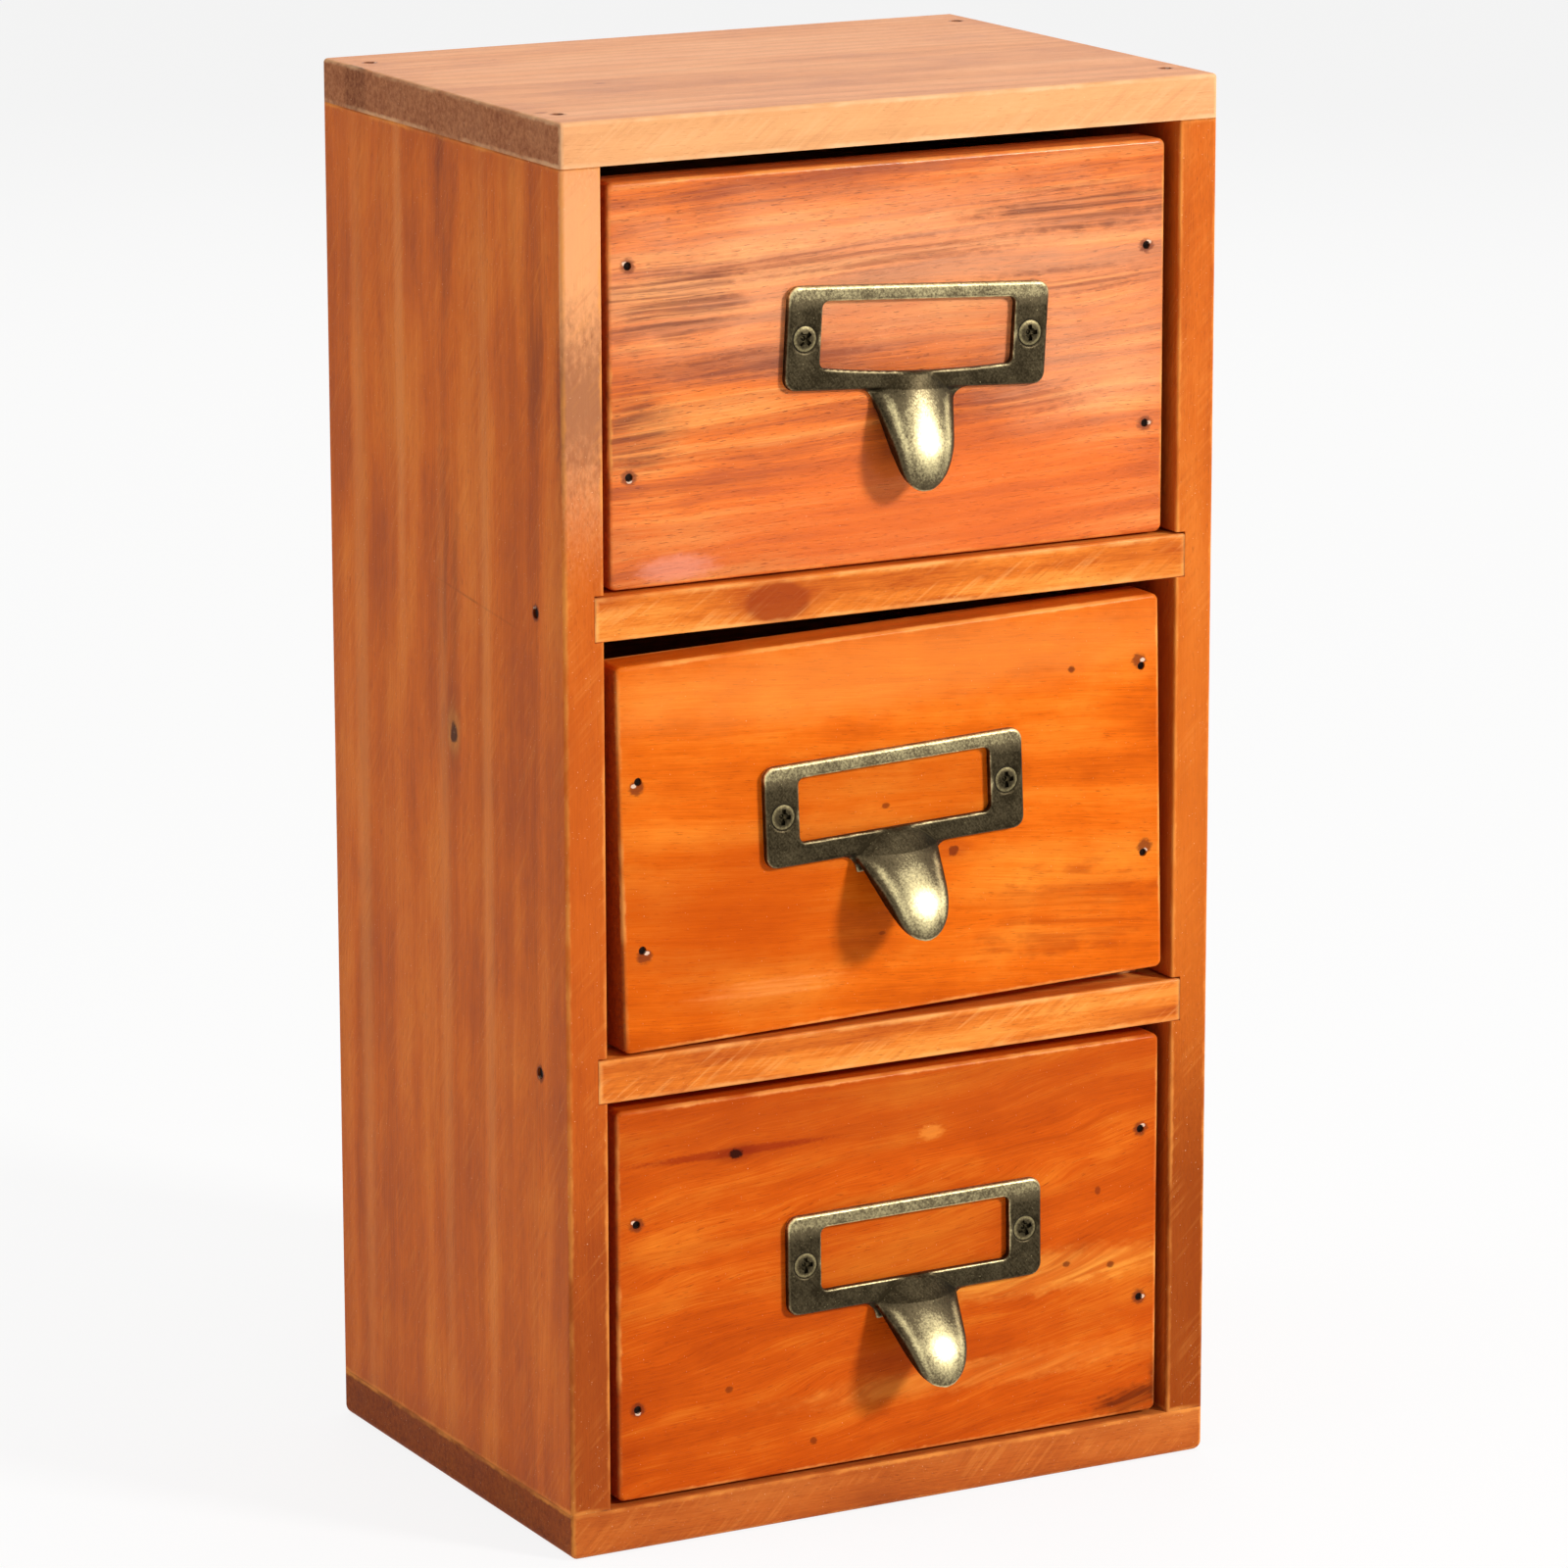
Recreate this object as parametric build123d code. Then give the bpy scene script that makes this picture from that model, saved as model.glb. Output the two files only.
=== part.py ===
from build123d import *
from dataclasses import dataclass
import math
import os

# Small wooden seed cabinet with three drawers.
# Millimetres. Z is up, the drawers face -Y, +X is to the right of someone facing them.
# The origin is the centre of the face that the cabinet stands on.

# ---- Case boards ----
case_width = 152.5
case_depth = 112.5
case_height = 300.0
top_board_thickness = 9.2
bottom_board_thickness = 10.0
side_thickness = 9.0
divider_thickness = 9.2
divider_count = 2
dado_depth = 2.2
dado_end_clearance = 0.1
dado_headroom = 0.5
board_edge_radius = 1.0
top_edge_radius = 0.9
thin_edge_radius = 0.5
base_edge_radius = 2.0
base_corner_radius = 1.0

# ---- Back panel ----
back_panel_thickness = 4.0
rabbet_width = 4.5
back_panel_clearance = 0.3

# ---- Drawer boxes ----
drawer_front_thickness = 9.2
drawer_side_thickness = 9.0
drawer_back_thickness = 9.0
drawer_bottom_thickness = 3.0
drawer_side_step_down = 5.0
drawer_running_gap = 0.1
drawer_stop_gap = 0.5
fully_in_recess = 2.0
front_edge_radius = 1.0
front_corner_radius = 1.6

# ---- Nails and brads ----
nail_diameter = 1.5
nail_length = 25.0
nail_head_diameter = 2.4
brad_diameter = 1.1
brad_length = 22.0
small_brad_length = 10.0
brad_head_diameter = 1.7
head_thickness = 0.7
head_set_depth = 0.4
nail_clearance = 0.03
case_nail_inset = 5.5
case_nail_from_face = 12.0
divider_nail_from_front = 13.0
back_brad_margin = 18.0
drawer_bottom_brad_margin = 16.0

# ---- Label-holder pulls ----
plate_width = 61.0
plate_height = 21.6
plate_thickness = 1.8
plate_corner_radius = 2.6
plate_edge_radius = 0.7
window_width = 45.2
top_bar_height = 3.2
bottom_bar_height = 4.7
window_corner_radius = 1.4
window_edge_radius = 0.4
neck_drop = 4.0
neck_thickness = 1.0
neck_flare_radius = 3.6
tongue_half_width = 10.2
tongue_length = 24.4
tongue_tip_radius = 6.2
tongue_root_depth = 3.9
tongue_bulge_depth = 4.7
tongue_bulge_place = 13.0
tongue_wall = 1.7
tongue_root_below_window = 0.5

# ---- Pull screws ----
screw_spacing = 52.8
screw_head_diameter = 5.7
screw_shank_diameter = 2.6
screw_length = 9.5
screw_point_length = 2.5
screw_head_rim = 0.2
screw_clearance = 0.03
cross_arm_length = 3.1
cross_arm_width = 0.8
cross_depth = 1.1


@dataclass(frozen=True)
class DrawerSizes:
    """What differs from one drawer to the next, as the maker left it."""

    name: str
    rest_recess: float
    side_gap: float
    foot_gap: float
    head_gap: float
    front_tilt: float
    pull_offset: float
    pull_rise: float
    pull_tilt: float
    tongue_angle: float
    window_bow: float
    left_brad_heights: tuple
    right_brad_heights: tuple


# Listed from the lowest opening upwards. Angles are in degrees, and lift the right-hand end.
# Brad heights are measured from the middle of the drawer front.
drawers = (
    DrawerSizes(
        name="bottom_drawer",
        rest_recess=1.0,
        side_gap=2.3,
        foot_gap=0.8,
        head_gap=2.5,
        front_tilt=0.0,
        pull_offset=4.7,
        pull_rise=3.8,
        pull_tilt=0.6,
        tongue_angle=40.0,
        window_bow=0.0,
        left_brad_heights=(17.5, -22.5),
        right_brad_heights=(21.5, -16.0),
    ),
    DrawerSizes(
        name="middle_drawer",
        rest_recess=0.0,
        side_gap=3.2,
        foot_gap=0.5,
        head_gap=2.9,
        front_tilt=1.25,
        pull_offset=-0.8,
        pull_rise=5.4,
        pull_tilt=2.2,
        tongue_angle=38.0,
        window_bow=0.0,
        left_brad_heights=(16.5, -19.0),
        right_brad_heights=(25.5, -15.0),
    ),
    DrawerSizes(
        name="top_drawer",
        rest_recess=2.0,
        side_gap=2.3,
        foot_gap=0.6,
        head_gap=3.8,
        front_tilt=0.0,
        pull_offset=5.35,
        pull_rise=5.2,
        pull_tilt=-3.3,
        tongue_angle=23.0,
        window_bow=1.1,
        left_brad_heights=(24.5, -18.5),
        right_brad_heights=(19.5, -18.0),
    ),
)

# ---- Values worked out from the sizes above ----
case_front = -case_depth / 2
case_back = case_depth / 2
side_outer = case_width / 2
side_inner = side_outer - side_thickness
side_bottom = bottom_board_thickness
side_top = case_height - top_board_thickness
side_height = side_top - side_bottom
panel_front = case_back - back_panel_thickness
opening_height = (side_height - divider_count * divider_thickness) / (divider_count + 1)
shelf_pitch = opening_height + divider_thickness
drawer_length = panel_front - case_front - fully_in_recess - drawer_stop_gap


def opening_floor(level):
    """Height of the surface that the drawer at this level runs on."""
    return side_bottom + level * shelf_pitch


def block(x_low, x_high, y_low, y_high, z_low, z_high):
    """A rectangular board between the given limits."""
    size = (x_high - x_low, y_high - y_low, z_high - z_low)
    middle = ((x_low + x_high) / 2, (y_low + y_high) / 2, (z_low + z_high) / 2)
    return Pos(*middle) * Box(*size)


def drill(board, fasteners):
    """The board with every fastener's hole cut out of it."""
    return board - fasteners


# ---- Fasteners ----
def nail(diameter, head_diameter, length, clearance=0.0):
    """A nail along -Z whose driven head lies just under the surface at z = 0.

    With a clearance it is the hole that the nail fills, open to the surface.
    """
    head_top = 0.0 if clearance else -head_set_depth
    head_bottom = -head_set_depth - head_thickness
    head = Cylinder(head_diameter / 2 + clearance, head_top - head_bottom)
    shank_length = length - head_thickness + clearance
    shank = Cylinder(diameter / 2 + clearance, shank_length)
    head = Pos(0, 0, (head_top + head_bottom) / 2) * head
    shank = Pos(0, 0, head_bottom - shank_length / 2) * shank
    return head + shank


def big_nail(clearance=0.0):
    return nail(nail_diameter, nail_head_diameter, nail_length, clearance)


def brad(clearance=0.0):
    return nail(brad_diameter, brad_head_diameter, brad_length, clearance)


def small_brad(clearance=0.0):
    return nail(brad_diameter, brad_head_diameter, small_brad_length, clearance)


def place(maker, places):
    """One solid for each place, and the matching holes."""
    solids = [spot * maker() for spot in places]
    holes = [spot * maker(nail_clearance) for spot in places]
    return solids, holes


def countersunk_profile(clearance):
    """Half outline of the screw, from its face at z = 0 down to its point."""
    rim = screw_head_diameter / 2 + clearance
    shank = screw_shank_diameter / 2 + clearance
    cone_end = -screw_head_rim - (rim - shank)
    shank_end = -(screw_length - screw_point_length)
    corners = [
        (0, 0),
        (rim, 0),
        (rim, -screw_head_rim),
        (shank, cone_end),
        (shank, shank_end),
        (0, -screw_length - clearance),
    ]
    outline = make_face(Plane.XZ * Polyline(*corners, close=True))
    return revolve(outline, Axis.Z)


def pull_screw():
    """A countersunk screw along -Z with a cross recess in its face at z = 0."""
    arm = Box(cross_arm_length, cross_arm_width, 2 * cross_depth)
    recess = arm + Rot(Z=90) * arm
    return countersunk_profile(0.0) - recess


# ---- Case ----
def case_nail_places(lift, turn):
    """Two nails near each end of the top or bottom board, driven into a side's end grain."""
    nail_x = side_outer - case_nail_inset
    nail_y = case_depth / 2 - case_nail_from_face
    spots = [(x, y) for x in (-nail_x, nail_x) for y in (-nail_y, nail_y)]
    return [Pos(x, y, lift) * turn for x, y in spots]


def divider_nail_places():
    """One nail through each side into each end of each divider."""
    spots = []
    for level in range(1, divider_count + 1):
        height = opening_floor(level) - divider_thickness / 2
        nail_y = case_front + divider_nail_from_front
        spots.append(Pos(-side_outer, nail_y, height) * Rot(Y=-90))
        spots.append(Pos(side_outer, nail_y, height) * Rot(Y=90))
    return spots


def back_brad_places():
    """Brads through the back panel, into the sides' rabbets and the dividers."""
    brad_x = side_inner + rabbet_width / 2
    brad_top = side_top - back_brad_margin
    brad_bottom = side_bottom + back_brad_margin
    heights = (brad_bottom, (brad_bottom + brad_top) / 2, brad_top)
    spots = [(x, z) for x in (-brad_x, brad_x) for z in heights]
    for level in range(1, divider_count + 1):
        height = opening_floor(level) - divider_thickness / 2
        spots.append((-side_inner / 2, height))
        spots.append((side_inner / 2, height))
    return [Pos(x, case_back, z) * Rot(X=-90) for x, z in spots]


def top_board():
    board = block(-side_outer, side_outer, case_front, case_back, side_top, case_height)
    board = fillet(board.edges().filter_by(Axis.Z), board_edge_radius)
    return fillet(board.faces().sort_by(Axis.Z)[-1].edges(), top_edge_radius)


def bottom_board():
    board = block(-side_outer, side_outer, case_front, case_back, 0, side_bottom)
    board = fillet(board.edges().filter_by(Axis.Z), base_corner_radius)
    return fillet(board.faces().sort_by(Axis.Z)[0].edges(), base_edge_radius)


def side_board():
    """The left side, with its dados and its rabbet for the back panel."""
    board = block(-side_outer, -side_inner, case_front, case_back, side_bottom, side_top)
    upright_edges = board.edges().filter_by(Axis.Z)
    board = fillet(upright_edges.sort_by(Axis.X)[:2], board_edge_radius)
    inner_front = board.edges().filter_by(Axis.Z).sort_by(Axis.X)[-2:].sort_by(Axis.Y)[0]
    board = fillet(inner_front, thin_edge_radius)
    for level in range(1, divider_count + 1):
        dado_top = opening_floor(level) + dado_headroom
        dado_bottom = opening_floor(level) - divider_thickness
        dado_wall = -side_inner - dado_depth
        board -= block(dado_wall, 0, case_front, case_back, dado_bottom, dado_top)
    rabbet_wall = -side_inner - rabbet_width
    return board - block(rabbet_wall, 0, panel_front, case_back, side_bottom, side_top)


def divider(level):
    """A shelf between two drawers, let into the sides at both ends."""
    half_length = side_inner + dado_depth - dado_end_clearance
    surface = opening_floor(level)
    board = block(
        -half_length, half_length, case_front, panel_front, surface - divider_thickness, surface
    )
    front_face = board.faces().sort_by(Axis.Y)[0]
    return fillet(front_face.edges().filter_by(Axis.X), thin_edge_radius)


def back_panel():
    half_width = side_inner + rabbet_width - back_panel_clearance
    return block(
        -half_width,
        half_width,
        panel_front,
        case_back,
        side_bottom + back_panel_clearance,
        side_top - back_panel_clearance,
    )


def case_pieces():
    """Every piece of the case by name, drilled for its nails."""
    top_nails, top_holes = place(big_nail, case_nail_places(case_height, Rot()))
    base_nails, base_holes = place(big_nail, case_nail_places(0, Rot(X=180)))
    divider_nails, divider_holes = place(big_nail, divider_nail_places())
    back_brads, back_holes = place(small_brad, back_brad_places())
    left_side = side_board()
    right_side = mirror(left_side, about=Plane.YZ)
    holes = top_holes + base_holes + divider_holes + back_holes
    return {
        "top_board": drill(top_board(), top_holes),
        "bottom_board": drill(bottom_board(), base_holes),
        "left_side": drill(left_side, holes),
        "right_side": drill(right_side, holes),
        "lower_divider": drill(divider(1), divider_holes + back_holes),
        "upper_divider": drill(divider(2), divider_holes + back_holes),
        "back_panel": drill(back_panel(), back_holes),
        "top_board_nails": Compound(top_nails),
        "bottom_board_nails": Compound(base_nails),
        "divider_nails": Compound(divider_nails),
        "back_panel_brads": Compound(back_brads),
    }


# ---- Label-holder pull, made about the middle of its plate on the drawer front's face ----
window_height = plate_height - top_bar_height - bottom_bar_height
window_middle = (bottom_bar_height - top_bar_height) / 2
window_bottom = window_middle - window_height / 2
neck_half_width = tongue_half_width - tongue_wall / 2


def neck_outline():
    """The plate's outline with the flared neck that backs the tongue's root."""
    neck_bottom = -plate_height / 2 - neck_drop
    neck_middle = Pos(0, neck_bottom / 2)
    outline = RectangleRounded(plate_width, plate_height, plate_corner_radius)
    outline += neck_middle * Rectangle(2 * neck_half_width, -neck_bottom)
    waist = [
        corner
        for corner in outline.vertices()
        if abs(corner.Y + plate_height / 2) < 0.01 and abs(corner.X) < neck_half_width + 0.01
    ]
    return fillet(waist, neck_flare_radius)


def window_outline(bow):
    """The label window, whose lower edge may be bowed downwards."""
    half_width = window_width / 2
    window_top = window_bottom + window_height
    left = (-half_width, window_bottom)
    right = (half_width, window_bottom)
    upper_edges = Polyline(right, (half_width, window_top), (-half_width, window_top), left)
    lower_edge = Line(left, right)
    if bow > 0:
        lower_edge = ThreePointArc(left, (0, window_bottom - bow), right)
    window = make_face(upper_edges + lower_edge)
    return fillet(window.vertices(), window_corner_radius)


def label_plate(bow):
    """The flat part of the pull. Its back lies at y = 0 and its face at -plate_thickness."""
    upright = Plane.XZ
    outline = RectangleRounded(plate_width, plate_height, plate_corner_radius)
    plate = extrude(upright * outline, plate_thickness)
    plate = fillet(plate.faces().sort_by(Axis.Y)[0].edges(), plate_edge_radius)
    plate += extrude(upright * neck_outline(), neck_thickness)
    plate -= extrude(upright * window_outline(bow), plate_thickness)
    rim = [
        edge
        for edge in plate.faces().sort_by(Axis.Y)[0].edges()
        if abs(edge.center().X) < window_width / 2 + 0.1
        and window_bottom - bow - 0.1 < edge.center().Z < window_bottom + window_height + 0.1
    ]
    return fillet(rim, window_edge_radius)


def tongue_body(inset):
    """The tongue's outline from the front, filled up to its rounded crown.

    It points along +X from its root, and +Z is the side that faces the user. With an inset it
    is the hollow that a wall of that thickness leaves.
    """
    tip_radius = tongue_tip_radius - inset
    root = Circle(tongue_half_width - inset)
    tip = Pos(tongue_length - tongue_tip_radius, 0) * Circle(tip_radius)
    outline = extrude(make_hull(root.edges() + tip.edges()), 2 * tongue_half_width, both=True)

    root_end = -tongue_half_width
    root_crown = tongue_root_depth - inset
    bulge_crown = tongue_bulge_depth - inset
    axis_height = -(tongue_half_width**2 - tongue_root_depth**2) / (2 * tongue_root_depth)
    slope_start = (root_end, root_crown)
    bulge = (tongue_bulge_place, bulge_crown)
    tip_end = (tongue_length - inset, 0)
    slope = Line(slope_start, bulge)
    nose = TangentArc(bulge, tip_end, tangent=slope % 1)
    closing = Polyline(tip_end, (tip_end[0], axis_height), (root_end, axis_height), slope_start)
    profile = Plane.XZ * make_face(slope + nose + closing)
    crown = revolve(profile, Axis((0, 0, axis_height), (1, 0, 0)))
    return outline & crown


def tongue(angle, bow):
    """The hollow finger tongue, leaning forward by the angle from straight down."""
    reach = 2 * tongue_length
    back_half = block(-reach, reach, -reach, reach, -reach, 0)
    shell = tongue_body(0.0) - back_half - tongue_body(tongue_wall)
    lean = math.radians(angle)
    crown_height = window_bottom - bow - tongue_root_below_window
    root_height = crown_height - tongue_root_depth * math.sin(lean)
    root_reach = -plate_thickness + tongue_root_depth * math.cos(lean)
    spot = Plane(
        origin=(0, root_reach, root_height),
        x_dir=(0, -math.sin(lean), -math.cos(lean)),
        z_dir=(0, -math.cos(lean), math.sin(lean)),
    )
    root_cut = window_bottom - bow - (tongue_root_below_window + window_edge_radius) / 2
    above = block(-plate_width, plate_width, -plate_width, plate_width, root_cut, plate_width)
    behind = block(-plate_width, plate_width, 0, plate_width, -plate_width, plate_width)
    return spot * shell - above - behind


def pull_screw_places():
    return [Pos(x, -plate_thickness, 0) * Rot(X=90) for x in (-screw_spacing / 2, screw_spacing / 2)]


def label_pull(sizes):
    """The plate and its tongue as one casting, countersunk for two screws."""
    casting = label_plate(sizes.window_bow) + tongue(sizes.tongue_angle, sizes.window_bow)
    holes = [spot * countersunk_profile(screw_clearance) for spot in pull_screw_places()]
    return drill(casting, holes)


# ---- Drawers ----
def front_half_width(sizes):
    return side_inner - sizes.side_gap


def crooked_rise(sizes):
    """How far the tilt lifts one end of the front and lowers the other."""
    return front_half_width(sizes) * math.sin(math.radians(abs(sizes.front_tilt)))


def front_limits(level, sizes):
    """Height of the front's lower and upper edge at its middle."""
    floor = opening_floor(level)
    low = floor + sizes.foot_gap + crooked_rise(sizes)
    high = floor + opening_height - sizes.head_gap - crooked_rise(sizes)
    return low, high


def drawer_front(half_width, height):
    """The front board about its own middle, with its face at y = 0."""
    board = block(-half_width, half_width, 0, drawer_front_thickness, -height / 2, height / 2)
    board = fillet(board.edges().filter_by(Axis.Y), front_corner_radius)
    return fillet(board.faces().sort_by(Axis.Y)[0].edges(), front_edge_radius)


def front_brad_places(half_width, sizes):
    """Brads through the front into the end grain of the drawer's sides."""
    brad_x = half_width - drawer_side_thickness / 2
    left = [(-brad_x, height) for height in sizes.left_brad_heights]
    right = [(brad_x, height) for height in sizes.right_brad_heights]
    return [Pos(x, 0, z) * Rot(X=90) for x, z in left + right]


def drawer_pieces(level, sizes):
    """Every piece of one drawer by name, at its place of rest in the case."""
    half_width = front_half_width(sizes)
    low, high = front_limits(level, sizes)
    face = case_front + sizes.rest_recess
    joint = face + drawer_front_thickness
    rear = face + drawer_length
    panel_low = opening_floor(level) + drawer_running_gap
    panel_high = panel_low + drawer_bottom_thickness
    side_high = high - crooked_rise(sizes) - drawer_side_step_down
    inner = half_width - drawer_side_thickness
    back_face = rear - drawer_back_thickness
    front_place = Pos(0, face, (low + high) / 2) * Rot(Y=-sizes.front_tilt)
    pull_place = front_place * Pos(sizes.pull_offset, 0, sizes.pull_rise)
    pull_place = pull_place * Rot(Y=sizes.front_tilt - sizes.pull_tilt)

    front_brads, front_holes = place(
        brad, [front_place * spot for spot in front_brad_places(half_width, sizes)]
    )
    screw_spots = [pull_place * spot for spot in pull_screw_places()]
    screws = [spot * pull_screw() for spot in screw_spots]
    screw_holes = [spot * countersunk_profile(screw_clearance) for spot in screw_spots]

    side_middle = (panel_high + side_high) / 2
    quarter = (side_high - panel_high) / 4
    back_heights = (side_middle - quarter, side_middle + quarter)
    back_y = rear - drawer_back_thickness / 2
    left_spots = [Pos(-half_width, back_y, z) * Rot(Y=-90) for z in back_heights]
    right_spots = [Pos(half_width, back_y, z) * Rot(Y=90) for z in back_heights]
    back_brads, back_holes = place(brad, left_spots + right_spots)

    brad_x = half_width - drawer_side_thickness / 2
    near = joint + drawer_bottom_brad_margin
    far = rear - drawer_bottom_brad_margin
    bottom_spots = [(x, y) for x in (-brad_x, brad_x) for y in (near, far)]
    bottom_spots += [(-inner / 2, back_y), (inner / 2, back_y)]
    bottom_places = [Pos(x, y, panel_low) * Rot(X=180) for x, y in bottom_spots]
    bottom_brads, bottom_holes = place(small_brad, bottom_places)

    front = front_place * drawer_front(half_width, high - low)
    left = block(-half_width, -inner, joint, rear, panel_high, side_high)
    right = block(inner, half_width, joint, rear, panel_high, side_high)
    back = block(-inner, inner, back_face, rear, panel_high, side_high)
    panel = block(-half_width, half_width, joint, rear, panel_low, panel_high)
    side_holes = front_holes + back_holes + bottom_holes
    pieces = {
        "front": drill(front, front_holes + screw_holes),
        "left_side": drill(left, side_holes),
        "right_side": drill(right, side_holes),
        "back": drill(back, back_holes + bottom_holes),
        "bottom_panel": drill(panel, bottom_holes),
        "label_pull": pull_place * label_pull(sizes),
        "pull_screws": Compound(screws),
        "front_brads": Compound(front_brads),
        "back_brads": Compound(back_brads),
        "bottom_brads": Compound(bottom_brads),
    }
    return {sizes.name + "_" + name: piece for name, piece in pieces.items()}


pieces = case_pieces()
for level, sizes in enumerate(drawers):
    pieces.update(drawer_pieces(level, sizes))

os.makedirs("parts", exist_ok=True)
for name, piece in pieces.items():
    export_step(piece, "parts/" + name + ".step")
print(len(pieces), "pieces")
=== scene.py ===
"""Looks of a small three-drawer seed storage cabinet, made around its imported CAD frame.

Everything is in metres in the frame's own axes: Z is up, the drawers face -Y, and the origin is
the middle of the face that the cabinet stands on. Sizes named in millimetres end in _mm or stand
in a finish, whose patterns are laid out in millimetres.
"""

import logging
import math
from dataclasses import dataclass, replace
from enum import Enum
from functools import lru_cache

import bmesh
import bpy
import numpy as np
from mathutils import Matrix, Vector


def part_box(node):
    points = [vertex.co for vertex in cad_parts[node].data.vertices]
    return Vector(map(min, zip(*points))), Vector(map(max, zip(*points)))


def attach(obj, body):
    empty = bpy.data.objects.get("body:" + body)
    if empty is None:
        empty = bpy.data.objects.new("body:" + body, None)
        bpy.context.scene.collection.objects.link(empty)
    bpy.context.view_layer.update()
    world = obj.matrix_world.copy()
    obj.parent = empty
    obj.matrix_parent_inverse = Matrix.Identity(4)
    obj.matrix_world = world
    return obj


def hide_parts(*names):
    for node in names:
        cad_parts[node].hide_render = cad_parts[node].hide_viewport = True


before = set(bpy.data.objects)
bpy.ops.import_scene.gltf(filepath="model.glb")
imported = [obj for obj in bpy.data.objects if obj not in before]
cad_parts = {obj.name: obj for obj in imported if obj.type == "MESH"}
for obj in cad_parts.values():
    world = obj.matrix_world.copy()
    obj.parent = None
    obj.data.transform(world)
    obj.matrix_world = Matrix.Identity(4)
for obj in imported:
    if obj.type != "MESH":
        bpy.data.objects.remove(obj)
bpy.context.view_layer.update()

MM = 0.001
FAR = 1e6
SEED = 17
log = logging.getLogger("seed_cabinet")

Colour = tuple[float, float, float, float]


def srgb(code: str) -> Colour:
    """Turns a colour as it is seen on a screen into the linear one that a shader takes.

    Args:
        code: Six hexadecimal digits, red first.

    Returns:
        Red, green and blue in linear light, and an alpha of 1.
    """
    parts = [int(code[i : i + 2], 16) / 255 for i in (0, 2, 4)]
    line = [p / 12.92 if p <= 0.04045 else ((p + 0.055) / 1.055) ** 2.4 for p in parts]
    return (line[0], line[1], line[2], 1.0)


# ---------------------------------------------------------------------------------------------
# Node trees written as expressions
# ---------------------------------------------------------------------------------------------


class Term:
    """A number that a node gives out, for use in Python arithmetic."""

    def __init__(self, sheet: "NodeSheet", socket: bpy.types.NodeSocket) -> None:
        """Keeps the socket and the sheet that it is on."""
        self.sheet = sheet
        self.socket = socket

    def math(self, operation: str, *others: "Term | float") -> "Term":
        """Adds a Math node that starts with this number.

        Args:
            operation: The Math node's operation.
            others: The node's further inputs.

        Returns:
            The node's result.
        """
        return self.sheet.math(operation, self, *others)

    def __add__(self, other: "Term | float") -> "Term":
        """Sum."""
        return self.sheet.math("ADD", self, other)

    def __radd__(self, other: float) -> "Term":
        """Sum with a plain number on the left."""
        return self.sheet.math("ADD", other, self)

    def __sub__(self, other: "Term | float") -> "Term":
        """Difference."""
        return self.sheet.math("SUBTRACT", self, other)

    def __rsub__(self, other: float) -> "Term":
        """Difference from a plain number."""
        return self.sheet.math("SUBTRACT", other, self)

    def __mul__(self, other: "Term | float") -> "Term":
        """Product."""
        return self.sheet.math("MULTIPLY", self, other)

    def __rmul__(self, other: float) -> "Term":
        """Product with a plain number on the left."""
        return self.sheet.math("MULTIPLY", other, self)

    def __truediv__(self, other: "Term | float") -> "Term":
        """Quotient."""
        return self.sheet.math("DIVIDE", self, other)

    def __rtruediv__(self, other: float) -> "Term":
        """Quotient of a plain number."""
        return self.sheet.math("DIVIDE", other, self)

    def __neg__(self) -> "Term":
        """The number with its sign turned."""
        return self.sheet.math("MULTIPLY", self, -1.0)

    def __abs__(self) -> "Term":
        """The number without its sign."""
        return self.sheet.math("ABSOLUTE", self)

    def least(self, other: "Term | float") -> "Term":
        """The smaller of two numbers."""
        return self.sheet.math("MINIMUM", self, other)

    def most(self, other: "Term | float") -> "Term":
        """The larger of two numbers."""
        return self.sheet.math("MAXIMUM", self, other)

    def rise(self, low: float, high: float, first: float = 0.0, last: float = 1.0) -> "Term":
        """Goes smoothly from first to last while this number goes from low to high."""
        values = {"Value": self, "From Min": low, "From Max": high, "To Min": first, "To Max": last}
        return self.sheet.node("ShaderNodeMapRange", {"interpolation_type": "SMOOTHSTEP"}, values)

    def ramp(self, low: float, high: float, first: float = 0.0, last: float = 1.0) -> "Term":
        """Goes in a straight line from first to last while this number goes from low to high."""
        values = {"Value": self, "From Min": low, "From Max": high, "To Min": first, "To Max": last}
        return self.sheet.node("ShaderNodeMapRange", {}, values)

    def plus(self, factor: float, base: "Term | float") -> "Term":
        """This number times a factor, added to a base, in one node."""
        return self.sheet.math("MULTIPLY_ADD", self, factor, base)


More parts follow.
